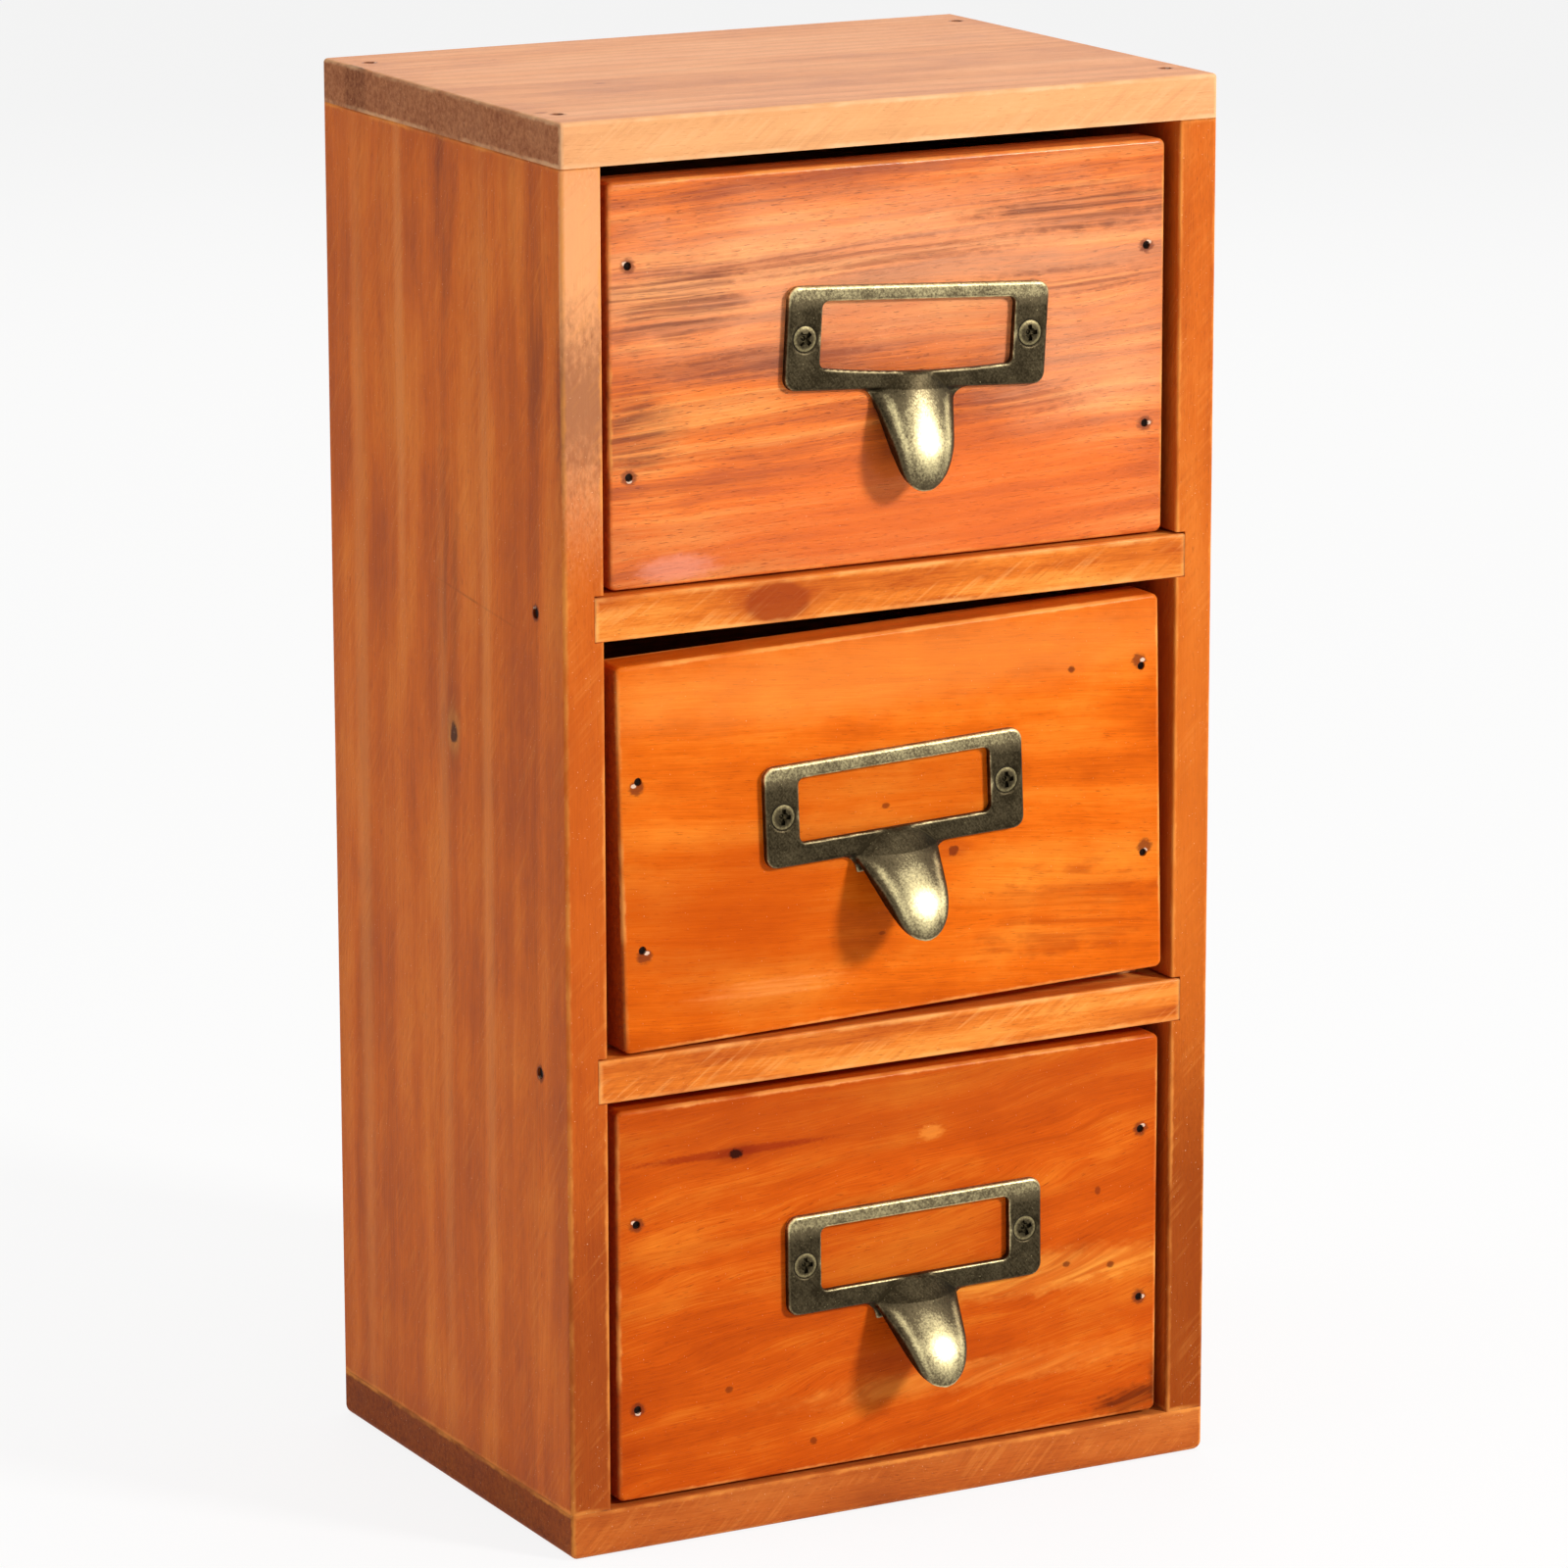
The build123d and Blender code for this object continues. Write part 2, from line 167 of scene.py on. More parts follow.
class Arrow:
    """A vector that a node gives out, for use in Python arithmetic."""

    def __init__(self, sheet: "NodeSheet", socket: bpy.types.NodeSocket) -> None:
        """Keeps the socket and the sheet that it is on."""
        self.sheet = sheet
        self.socket = socket

    def _with(self, operation: str, first: object, second: object) -> "Arrow":
        """Adds a Vector Math node and gives its vector."""
        made = self.sheet.node("ShaderNodeVectorMath", {"operation": operation}, {0: first, 1: second})
        return Arrow(self.sheet, made.socket)

    def __add__(self, other: "Arrow | tuple[float, float, float]") -> "Arrow":
        """Sum of two vectors."""
        return self._with("ADD", self, other)

    def __sub__(self, other: "Arrow | tuple[float, float, float]") -> "Arrow":
        """Difference of two vectors."""
        return self._with("SUBTRACT", self, other)

    def __rsub__(self, other: tuple[float, float, float]) -> "Arrow":
        """Difference from a plain vector."""
        return self._with("SUBTRACT", other, self)

    def __mul__(self, other: "Arrow | tuple[float, float, float]") -> "Arrow":
        """Product, axis by axis."""
        return self._with("MULTIPLY", self, other)

    def __abs__(self) -> "Arrow":
        """The vector with every axis positive."""
        return self._with("ABSOLUTE", self, (0.0, 0.0, 0.0))

    def seen_from(
        self, place: tuple, size: tuple[float, float, float], turn: tuple[float, float, float] = (0.0, 0.0, 0.0)
    ) -> "Arrow":
        """The vector as a frame sees it that stands at a place, is turned, and has the unit lengths given."""
        values = {"Vector": self, "Location": place, "Rotation": turn, "Scale": size}
        return Arrow(self.sheet, self.sheet.node("ShaderNodeMapping", {"vector_type": "TEXTURE"}, values).socket)

    def scaled(self, x: float, y: float, z: float, shift: float = 0.0) -> "Arrow":
        """The vector stretched along its axes, and shifted to another part of a pattern."""
        values = {"Vector": self, "Location": (shift, shift * 0.37, 0.0), "Scale": (x, y, z)}
        return Arrow(self.sheet, self.sheet.node("ShaderNodeMapping", {"vector_type": "POINT"}, values).socket)

    def length(self) -> Term:
        """The vector's length."""
        made = self.sheet.node("ShaderNodeVectorMath", {"operation": "LENGTH"}, {0: self}, out="Value")
        return made

    def parts(self) -> tuple[Term, Term, Term]:
        """The vector's three numbers."""
        x = self.sheet.node("ShaderNodeSeparateXYZ", {}, {0: self})
        return x, self.sheet.beside(x, 1), self.sheet.beside(x, 2)


class NodeSheet:
    """A node tree that is written with short calls."""

    def __init__(self, tree: bpy.types.NodeTree) -> None:
        """Keeps the tree that the nodes go to."""
        self.tree = tree

    def node(
        self, kind: str, settings: dict[str, object] | None = None, values: dict | None = None, out: int | str = 0
    ) -> Term:
        """Adds a node.

        Args:
            kind: The node's type.
            settings: Its settings, set first. "stops" are a ramp's places and colours.
            values: What goes into its sockets, by name or number: links or plain values.
            out: The output that is given back, by name or number.

        Returns:
            The node's output.
        """
        made = self.tree.nodes.new(kind)
        for name, setting in (settings or {}).items():
            if name == "stops":
                self._set_stops(made, setting)
            else:
                setattr(made, name, setting)
        for name, value in (values or {}).items():
            self.feed(made.inputs[name], value)
        return Term(self, made.outputs[out]) if len(made.outputs) else Term(self, made.inputs[0])

    @staticmethod
    def _set_stops(made: bpy.types.Node, stops: list[tuple[float, Colour]]) -> None:
        """Gives a colour ramp its stops."""
        ramp = made.color_ramp
        while len(ramp.elements) > 1:
            ramp.elements.remove(ramp.elements[0])
        for number, (place, colour) in enumerate(stops):
            stop = ramp.elements[0] if number == 0 else ramp.elements.new(place)
            stop.position, stop.color = place, colour

    def feed(self, socket: bpy.types.NodeSocket, value: object) -> None:
        """Links a socket to a term, or gives it a plain value."""
        if isinstance(value, (Term, Arrow)):
            self.tree.links.new(value.socket, socket)
        elif isinstance(value, bpy.types.NodeSocket):
            self.tree.links.new(value, socket)
        else:
            socket.default_value = value

    def beside(self, term: Term, out: int | str) -> Term:
        """Another output of the node that gave a term."""
        return Term(self, term.socket.node.outputs[out])

    def math(self, operation: str, *numbers: Term | float) -> Term:
        """Adds a Math node on the numbers given."""
        return self.node("ShaderNodeMath", {"operation": operation}, dict(enumerate(numbers)))

    def arrow(self, x: Term | float, y: Term | float, z: Term | float) -> Arrow:
        """Makes a vector of three numbers."""
        return Arrow(self, self.node("ShaderNodeCombineXYZ", {}, {0: x, 1: y, 2: z}).socket)

    def noise(self, at: Arrow, detail: float = 2.0, roughness: float = 0.5, distortion: float = 0.0) -> Term:
        """Smooth noise around 0.5 whose lumps are about one unit of the vector wide."""
        values = {"Vector": at, "Scale": 1.0, "Detail": detail, "Roughness": roughness, "Distortion": distortion}
        return self.node("ShaderNodeTexNoise", {"noise_dimensions": "3D"}, values)

    def blend(self, share: Term | float, first: object, second: object, way: str = "MIX") -> Term:
        """Mixes two colours.

        Args:
            share: 0 for the first colour, 1 for the second.
            first: A colour or a link.
            second: A colour or a link.
            way: The Mix node's blend type.

        Returns:
            The mixed colour.
        """
        settings = {"data_type": "RGBA", "blend_type": way, "clamp_factor": True}
        return self.node("ShaderNodeMix", settings, {0: share, 6: first, 7: second}, out=2)


class Coat:
    """A new material with one Principled shader, and what its patterns are laid out on."""

    def __init__(self, name: str) -> None:
        """Makes the material and its output."""
        self.material = bpy.data.materials.new(name)
        self.material.use_nodes = True
        self.material.node_tree.nodes.clear()
        self.sheet = NodeSheet(self.material.node_tree)

    def here(self) -> Arrow:
        """The place on the object, in metres."""
        return Arrow(self.sheet, self.sheet.node("ShaderNodeTexCoord", out="Object").socket)

    def finish(self, values: dict[str, object], height: Term, depth_mm: float, strength: float) -> bpy.types.Material:
        """Sets the shader up and links it to the output.

        Args:
            values: The Principled shader's sockets.
            height: The surface's relief, from 0 to 1.
            depth_mm: How deep the relief is.
            strength: How strongly the relief shows.

        Returns:
            The finished material.
        """
        bump = self.sheet.node(
            "ShaderNodeBump", {}, {"Strength": strength, "Distance": depth_mm * MM, "Height": height}
        )
        shader = self.sheet.node("ShaderNodeBsdfPrincipled", {}, {**values, "Normal": bump})
        self.sheet.node("ShaderNodeOutputMaterial", {}, {"Surface": shader})
        return self.material


# ---------------------------------------------------------------------------------------------
# Wood
# ---------------------------------------------------------------------------------------------


class Lie(Enum):
    """How a board lies: the axes that its grain, its width and its thickness run along."""

    UPRIGHT = "zyx"
    FACING = "xzy"
    FLAT = "xyz"
    DRAWER_SIDE = "yzx"
    UPRIGHT_PANEL = "zxy"


@dataclass(frozen=True)
class Patch:
    """A soft-edged patch of colour on a board, in millimetres along and across the grain and through it. Most are
    stains and chips; a few are painted shade and painted sheen.
    """

    along: float
    across: float
    length: float
    width: float
    colour: str
    strength: float = 0.6
    ragged: float = 0.5
    soft: float = 0.35
    grain_drawn: bool = False
    through: float = 0.0
    thickness: float = FAR

    def moved(self, along: float, across: float, through: float) -> "Patch":
        """The same stain, further along, across and through the board."""
        return replace(self, along=self.along + along, across=self.across + across, through=self.through + through)

    def paint(self, sheet: NodeSheet, place: Arrow, line: Term, colour: Term) -> Term:
        """Paints the patch.

        Args:
            sheet: Where the nodes go.
            place: The place along, across and through the grain.
            line: The grain's fine lines, from 0 to 1.
            colour: The colour below.

        Returns:
            The colour with the stain.
        """
        size = 2.2 / max(min(self.length, self.width), 0.5)
        rough = sheet.noise(place.scaled(size * 0.5, size, size, self.along), 3.0, 0.6)
        inside = (self.length, self.width, self.thickness)
        far = rough.plus(2 * self.ragged, place.seen_from((self.along, self.across, self.through), inside).length())
        edge = self.ragged + 1
        share = far.rise(edge - self.soft, edge + self.soft, self.strength, 0.0)
        if self.grain_drawn:
            share = share * line.rise(0.25, 0.7, 1.1, 0.25)
        return sheet.blend(share, colour, srgb(self.colour))


@dataclass(frozen=True)
class Knot:
    """A knot that the grain flows round, in millimetres."""

    along: float
    across: float
    radius: float
    colour: str = "3A150C"
    halo: str = "8E3416"
    strength: float = 0.85

    def moved(self, along: float, across: float, through: float) -> "Knot":
        """The same knot, further along and across. It goes right through the board."""
        return replace(self, along=self.along + along, across=self.across + across)

    def pinch(self, place: Arrow, v: Term, bent: Term) -> Term:
        """Draws the grain in at the knot, so that its lines part round it.

        Args:
            place: The place along, across and through the grain.
            v: The place across it.
            bent: The place across the wavy grain.

        Returns:
            The place across the grain as the knot bends it.
        """
        reach = (self.radius * 5, self.radius * 2.2, FAR)
        near = place.seen_from((self.along, self.across, 0.0), reach).length().rise(0.0, 1.8, 0.75, 0.0)
        return bent - (v - self.across) * near

    def paint(self, sheet: NodeSheet, place: Arrow, line: Term, colour: Term) -> Term:
        """Paints the knot's dark heart and the stain round it.

        Args:
            sheet: Where the nodes go.
            place: The place along, across and through the grain.
            line: The grain's fine lines, from 0 to 1.
            colour: The colour below.

        Returns:
            The colour with the knot.
        """
        here, fine = (self.along, self.across, 0.0), 0.8 / self.radius
        rough = sheet.noise(place.scaled(fine, fine, 0.2), 3.0, 0.6)
        far = rough.plus(1.1, place.seen_from(here, (self.radius * 1.25, self.radius, FAR)).length())
        aura = line.plus(0.6, place.seen_from(here, (self.radius * 4, self.radius * 1.6, FAR)).length())
        colour = sheet.blend(aura.rise(0.65, 1.55, self.strength * 0.55, 0.0), colour, srgb(self.halo))
        return sheet.blend(far.rise(1.15, 1.55, self.strength, 0.0), colour, srgb(self.colour))


@dataclass(frozen=True)
class Scratch:
    """A straight fine scratch between two points of a board, in millimetres."""

    start: tuple[float, float]
    end: tuple[float, float]
    width: float = 0.35
    colour: str = "5A2412"
    strength: float = 0.5

    def moved(self, along: float, across: float, through: float) -> "Scratch":
        """The same scratch, further along and across. It shows on both faces."""
        ends = [(x + along, y + across) for x, y in (self.start, self.end)]
        return replace(self, start=ends[0], end=ends[1])

    def paint(self, sheet: NodeSheet, place: Arrow, line: Term, colour: Term) -> Term:
        """Paints the scratch.

        Args:
            sheet: Where the nodes go.
            place: The place along, across and through the grain.
            line: The grain's fine lines, from 0 to 1.
            colour: The colour below.

        Returns:
            The colour with the scratch.
        """
        run = (self.end[0] - self.start[0], self.end[1] - self.start[1])
        middle = ((self.start[0] + self.end[0]) / 2, (self.start[1] + self.end[1]) / 2, 0.0)
        reach = (math.hypot(*run) / 2, self.width, FAR)
        near = place.seen_from(middle, reach, (0.0, 0.0, math.atan2(run[1], run[0]))).length()
        return sheet.blend(near.rise(0.0, 1.0, self.strength, 0.0) * line, colour, srgb(self.colour))


@dataclass(frozen=True)
class WoodFinish:
    """A stained and varnished wood. Lengths are in millimetres."""

    name: str
    light: str
    middle: str
    dark: str
    ring: str
    streaks: float = 0.8
    streak_width: float = 7.0
    rings: float = 0.35
    ring_gap: float = 5.0
    heart: tuple[float, float] = (10.0, -45.0)
    lean: float = 0.02
    wander: float = 7.0
    fibre: float = 0.5
    pores: float = 0.35
    mottle: float = 0.5
    saw_marks: float = 0.0
    saw_angle: float = 62.0
    wear: float = 0.8
    wear_width: float = 1.1
    wear_colour: str = "F6B46A"
    halo: float = 0.3
    end_colour: str = "6E3524"
    end_share: float = 0.8
    gloss: float = 0.05
    roughness: float = 0.4
    specks: float = 0.5
    relief: float = 0.35
    density: float = 1.09
    sheen: float = 0.14

    def dress(self, board: "Board") -> bpy.types.Material:
        """Makes this finish for one board.

        Args:
            board: The board, with its lie, place and marks.

        Returns:
            A material for the board's node.
        """
        coat = Coat(f"{self.name}_on_{board.node}")
        sheet = coat.sheet
        middle, half = board.middle_and_half()
        local = coat.here().seen_from(tuple(middle), (MM, MM, MM), (0.0, math.radians(-board.tilt), 0.0))
        axes = dict(zip("xyz", local.parts()))
        u, v, w = (axes[a] for a in board.lie.value)
        place = sheet.arrow(u, v, w)
        gaps = dict(zip("xyz", (tuple(half / MM) - abs(local)).parts()))
        gap_along, gap_across, gap_thick = (gaps[a] for a in board.lie.value)
        to_edge = gap_across.least(gap_thick).most(gap_across.most(gap_thick).least(gap_along))

        shift = board.number * 61.7
        waves = sheet.noise(place.scaled(0.013, 0.045, 0.045, shift))
        bent = waves.plus(2 * self.wander, u.plus(self.lean, v - self.wander))
        for knot in board.placed(Knot):
            bent = knot.pinch(place, v, bent)
        grain = sheet.arrow(u, bent, w)
        across = 1 / self.streak_width
        streak = sheet.noise(grain.scaled(0.011, across, across, shift), 3.0)
        line = sheet.noise(grain.scaled(0.02, 3.2 * across, 3.2 * across, shift), 4.0, 0.6).ramp(0.25, 0.75)
        fibre = sheet.noise(grain.scaled(0.1, 3.4, 3.4, shift), 4.0, 0.65).ramp(0.2, 0.8, -0.5, 0.5)
        pore = sheet.noise(grain.scaled(0.42, 5.5, 5.5, shift)).rise(0.62, 0.72)
        mottle = sheet.noise(place.scaled(0.03, 0.05, 0.05, shift), 4.0, 0.6).ramp(0.25, 0.75, -0.5, 0.5)
        heart = grain.seen_from((0.0, *self.heart), (FAR, self.ring_gap, self.ring_gap)).length()
        year = waves.plus(0.6, heart).math("FRACT")
        late = year.rise(0.25, 0.9) - year.rise(0.9, 1.0)

        tone = streak.rise(0.3, 0.7, 0.5 - self.streaks / 2, 0.5 + self.streaks / 2)
        tone = line.plus(self.streaks * 0.45, tone - self.streaks * 0.225)
        tone = fibre.plus(self.fibre * 0.45, mottle.plus(self.mottle, tone))
        stops = [(0.0, srgb(self.dark)), (0.5, srgb(self.middle)), (1.0, srgb(self.light))]
        colour = sheet.node("ShaderNodeValToRGB", {"stops": stops}, {"Fac": tone})
        colour = sheet.blend(late * line.plus(self.rings * 0.45, self.rings * 0.55), colour, srgb(self.ring))
        colour = sheet.blend(pore * self.pores, colour, srgb(self.ring))

        edge_noise = sheet.noise(local.scaled(0.35, 0.35, 0.35), 3.0, 0.6)
        # Painted shade: the wood darkens towards each board's edges, starting 9 mm in.
        if self.halo:
            near = to_edge.rise(0.8, 9.0, self.halo, 0.0) * (edge_noise + 0.4)
            colour = sheet.blend(near, colour, srgb(self.dark))
        for mark in board.placed(Patch, Knot, Scratch):
            colour = mark.paint(sheet, place, line, colour)

        saw = None
        if self.saw_marks:
            turn = math.radians(90 - self.saw_angle)
            cuts = sheet.noise(place.seen_from((shift, 0.0, 0.0), (0.6, 20.0, 20.0), (0.0, 0.5, turn)), 3.0, 0.55)
            amount = sheet.noise(place.scaled(0.04, 0.2, 0.2, shift)).rise(0.38, 0.62, 0.0, self.saw_marks)
            saw = cuts.rise(0.5, 0.66) * amount
            colour = sheet.blend(saw * 0.35, colour, srgb(self.wear_colour))
            colour = sheet.blend(cuts.rise(0.3, 0.45, 0.45, 0.0) * amount, colour, srgb(self.dark))

        ends = gap_along.rise(0.12, 0.5, 1.0, 0.0)
        ends_noise = sheet.noise(local.scaled(0.9, 0.9, 0.9), 4.0, 0.7).ramp(0.3, 0.7, 0.0, 0.5)
        end_tone = sheet.blend(ends_noise, srgb(self.end_colour), srgb(self.middle))
        colour = sheet.blend(ends * self.end_share, colour, end_tone)

        patchy = sheet.noise(local.scaled(0.07, 0.07, 0.07), 3.0, 0.55).rise(0.36, 0.64, 0.12, 1.0)
        reach = edge_noise.plus(1.1, to_edge - 0.55)
        brightening = reach.rise(self.wear_width * 0.35, self.wear_width, self.wear, 0.0) * patchy
        colour = sheet.blend(brightening, colour, srgb(self.wear_colour))
        if self.specks:
            speck = sheet.noise(local.scaled(2.6, 2.6, 2.6), 1.0).rise(0.75, 0.79, 0.0, self.specks)
            colour = sheet.blend(speck, colour, srgb("FFD9A8"))

        height = fibre.plus(0.5, 0.55) - pore.plus(0.5, late * 0.12)
        if saw is not None:
            height = saw.plus(0.5, height)
        values = {
            "Base Color": colour,
            "Roughness": ends.plus(0.12, mottle.plus(0.12, brightening.plus(0.12, self.roughness))),
            "IOR": self.density,
            "Coat Weight": ends.ramp(0.0, 1.0, self.gloss, self.gloss * 0.4),
            "Coat Roughness": self.sheen,
        }
        return coat.finish(values, height, 0.12, self.relief)


@lru_cache(maxsize=None)
def node_box(node: str) -> tuple[Vector, Vector]:
    """The lowest and highest corner of a CAD node, in metres."""
    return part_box(node)


@dataclass(frozen=True)
class Board:
    """A wooden CAD node, with how it lies and the marks on it, given in the frame's axes."""

    node: str
    lie: Lie
    finish: WoodFinish
    number: int
    tilt: float = 0.0
    marks: tuple = ()

    def middle_and_half(self) -> tuple[Vector, Vector]:
        """The board's middle and half its size, in metres, before any tilt."""
        low, high = node_box(self.node)
        middle, half = (low + high) / 2, (high - low) / 2
        if self.tilt:
            turn = math.radians(abs(self.tilt))
            c, s = math.cos(turn), math.sin(turn)
            x = (half.x * c - half.z * s) / (c * c - s * s)
            z = (half.z * c - half.x * s) / (c * c - s * s)
            half = Vector((x, half.y, z))
        return middle, half

    def placed(self, *kinds: type) -> list:
        """The board's marks of the kinds named, measured from its middle.

        Args:
            kinds: Patch, Knot or Scratch.

        Returns:
            The marks, in their own order.
        """
        middle = dict(zip("xyz", self.middle_and_half()[0]))
        shift = [-middle[axis] / MM for axis in self.lie.value]
        return [m.moved(*shift) for m in self.marks if isinstance(m, kinds)]

    def dress(self) -> None:
        """Gives the board's node its finish."""
        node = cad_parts[self.node]
        node.data.materials.clear()
        node.data.materials.append(self.finish.dress(self))
        log.info("%s: dressed in %s", self.node, self.finish.name)


# ---------------------------------------------------------------------------------------------
# Metal
# ---------------------------------------------------------------------------------------------


@dataclass(frozen=True)
class MetalFinish:
    """Aged metal that is rubbed bright where hands and corners wear it, and made lighter or darker where its
    attribute paints highlights and shade.
    """

    name: str
    dark: str
    middle: str
    bright: str
    rough: float = 0.42
    polished: float = 0.26
    grit: float = 2.2
    flecks: float = 0.35
    relief: float = 0.25
    base_rub: float = 0.0

    def dress(self) -> bpy.types.Material:
        """Makes this finish. Its attribute says where the metal is rubbed bright, and also carries painted highlights
        and painted shade.

        Returns:
            The material.
        """
        coat = Coat(self.name)
        sheet = coat.sheet
        local = coat.here() * (1 / MM, 1 / MM, 1 / MM)
        wear_and_light = sheet.node("ShaderNodeAttribute", {"attribute_name": "wear_and_light"}, out="Fac")
        cloud = sheet.noise(local * (0.22, 0.22, 0.22), 4.0, 0.6)
        grain = sheet.noise(local * (self.grit, self.grit, self.grit), 3.0, 0.65)
        strokes = sheet.noise(local.seen_from((0.0, 0.0, 0.0), (6.0, 6.0, 0.28), (0.0, 0.9, 0.0)), 3.0, 0.6)
        speckle = (grain - 0.5) * wear_and_light.most(0.0).plus(0.7, 0.5)
        # This share mixes real wear with the painted highlights and painted shade that the attribute carries.
        brightening = strokes.plus(0.24, wear_and_light + (cloud - 0.5) * 0.45 + speckle) + (self.base_rub - 0.12)
        stops = [
            (0.0, srgb(self.dark)),
            (0.42, srgb(self.middle)),
            (1.0, srgb(self.bright)),
        ]
        colour = sheet.node("ShaderNodeValToRGB", {"stops": stops}, {"Fac": brightening})
        fleck = sheet.noise(local * (2.6, 2.6, 2.6), 1.0).rise(0.74, 0.8)
        colour = sheet.blend(fleck * self.flecks, colour, srgb(self.bright))
        pit = 1 - sheet.noise(local * (2.1, 2.1, 2.1), 2.0).rise(0.27, 0.34)
        colour = sheet.blend(pit * 0.55, colour, srgb(self.dark))
        share = brightening.ramp(0.1, 1.0)
        values = {
            "Base Color": colour,
            "Metallic": 1.0,
            "Roughness": self.rough - share * (self.rough - self.polished) + (grain - 0.5) * 0.2,
        }
        return coat.finish(values, grain * 0.6 + cloud * 0.25 - pit * 0.4, 0.06, self.relief)


# ---------------------------------------------------------------------------------------------
# Screws, nails and brads
# ---------------------------------------------------------------------------------------------


class HeadStyle(Enum):
    """What the top of a fastener's head looks like."""

    PLAIN = "plain"
    CROSS = "cross"


@dataclass(frozen=True)
class Fastener:
    """One kind of screw or nail. Lengths are in millimetres."""

    name: str
    style: HeadStyle
    slot: str
    head_radius: float
    crown: float
    rim: float
    taper: float
    shank_radius: float
    length: float
    point: float
    cross_length: float = 0.0
    cross_width: float = 0.0
    cross_depth: float = 0.0
    wobble: float = 0.0
    segments: int = 20

    LATHE_ROWS = 20
    LENGTHS = (
        "head_radius",
        "crown",
        "rim",
        "taper",
        "shank_radius",
        "length",
        "point",
        "cross_length",
        "cross_width",
        "cross_depth",
    )

    def tree(self) -> bpy.types.NodeTree:
        """Builds the node tree that turns one fastener on a lathe and sets it at each point.

        Returns:
            A Geometry Nodes tree whose inputs are the sizes in metres, a seed and a material.
        """
        tree = bpy.data.node_groups.new(f"{self.name}_lathe", "GeometryNodeTree")
        face = tree.interface
        face.new_socket(name="Geometry", in_out="INPUT", socket_type="NodeSocketGeometry")
        for size in self.LENGTHS:
            face.new_socket(name=size, in_out="INPUT", socket_type="NodeSocketFloat")
        face.new_socket(name="wobble", in_out="INPUT", socket_type="NodeSocketFloat")
        face.new_socket(name="seed", in_out="INPUT", socket_type="NodeSocketInt")
        face.new_socket(name="metal", in_out="INPUT", socket_type="NodeSocketMaterial")
        face.new_socket(name="Geometry", in_out="OUTPUT", socket_type="NodeSocketGeometry")
        sheet = NodeSheet(tree)
        given = sheet.node("NodeGroupInput", out="Geometry")
        size = {name: sheet.beside(given, name) for name in (*self.LENGTHS, "wobble")}

        turned = self._turned(sheet, size)
        if self.style is HeadStyle.CROSS:
            turned = self._recessed(sheet, size, turned)
        facing = sheet.node(
            "GeometryNodeInputNamedAttribute", {"data_type": "FLOAT_VECTOR"}, {"Name": "facing"}
        )
        spin = sheet.node("GeometryNodeInputNamedAttribute", {"data_type": "FLOAT"}, {"Name": "spin"})
        aimed = sheet.node("FunctionNodeAlignRotationToVector", {"axis": "Z"}, {"Vector": facing})
        spun = sheet.node("FunctionNodeEulerToRotation", {}, {0: sheet.arrow(0.0, 0.0, spin)})
        aimed = sheet.node("FunctionNodeRotateRotation", {"rotation_space": "LOCAL"}, {0: aimed, 1: spun})
        lean = sheet.node(
            "FunctionNodeRandomValue",
            {"data_type": "FLOAT_VECTOR"},
            {
                0: sheet.arrow(-size["wobble"], -size["wobble"], 0.0),
                1: sheet.arrow(size["wobble"], size["wobble"], 0.0),
                "Seed": sheet.beside(given, "seed"),
            },
        )
        leant = sheet.node("FunctionNodeEulerToRotation", {}, {0: lean})
        aimed = sheet.node("FunctionNodeRotateRotation", {"rotation_space": "LOCAL"}, {0: aimed, 1: leant})
        placed = sheet.node(
            "GeometryNodeInstanceOnPoints", {}, {"Points": given, "Instance": turned, "Rotation": aimed}
        )
        whole = sheet.node("GeometryNodeRealizeInstances", {}, {"Geometry": placed})
        dressed = sheet.node(
            "GeometryNodeSetMaterial", {}, {"Geometry": whole, "Material": sheet.beside(given, "metal")}
        )
        sheet.node("NodeGroupOutput", {}, {"Geometry": dressed})
        return tree

    def _turned(self, sheet: NodeSheet, size: dict[str, Term]) -> Term:
        """Bends a grid round the axis into head, taper, shank and point.

        Args:
            sheet: Where the nodes go.
            size: The tree's sizes.

        Returns:
            The turned body, its head's top at the origin and facing +Z.
        """
        rows = self.LATHE_ROWS + 1
        grid = sheet.node(
            "GeometryNodeMeshGrid", {}, {"Size X": 1.0, "Size Y": 1.0, "Vertices X": self.segments + 1, "Vertices Y": rows}
        )
        x, y, _ = Arrow(sheet, sheet.node("GeometryNodeInputPosition").socket).parts()
        angle = (x + 0.5) * (-2 * math.pi)
        t = y + 0.5
        over_crown, over_rim, over_taper = t.ramp(0, 0.5), t.ramp(0.5, 0.65), t.ramp(0.65, 0.8)
        over_shank, over_point = t.ramp(0.8, 0.9), t.ramp(0.9, 1.0)
        radius = (
            size["head_radius"] * over_crown
            - (size["head_radius"] - size["shank_radius"]) * over_taper
            - size["shank_radius"] * over_point
        )
        shank = size["length"] - size["crown"] - size["rim"] - size["taper"] - size["point"]
        depth = (
            size["crown"] * over_crown * over_crown
            + size["rim"] * over_rim
            + size["taper"] * over_taper
            + shank * over_shank
            + size["point"] * over_point
        )
        place = sheet.arrow(radius * angle.math("COSINE"), radius * angle.math("SINE"), -depth)
        # A lighter ring on the crown, and painted shade at the head's outer edge, where the gap round it is dark.
        wear_and_light = over_crown.rise(0.6, 0.85, 0.0, 0.45) - over_crown.rise(0.88, 1.0, 0.0, 1.1)
        marked = sheet.node(
            "GeometryNodeStoreNamedAttribute",
            {"data_type": "FLOAT", "domain": "POINT"},
            {"Geometry": grid, "Name": "wear_and_light", "Value": wear_and_light},
        )
        shaped = sheet.node("GeometryNodeSetPosition", {}, {"Geometry": marked, "Position": place})
        return sheet.node("GeometryNodeMergeByDistance", {}, {"Geometry": shaped, "Distance": 1e-6})

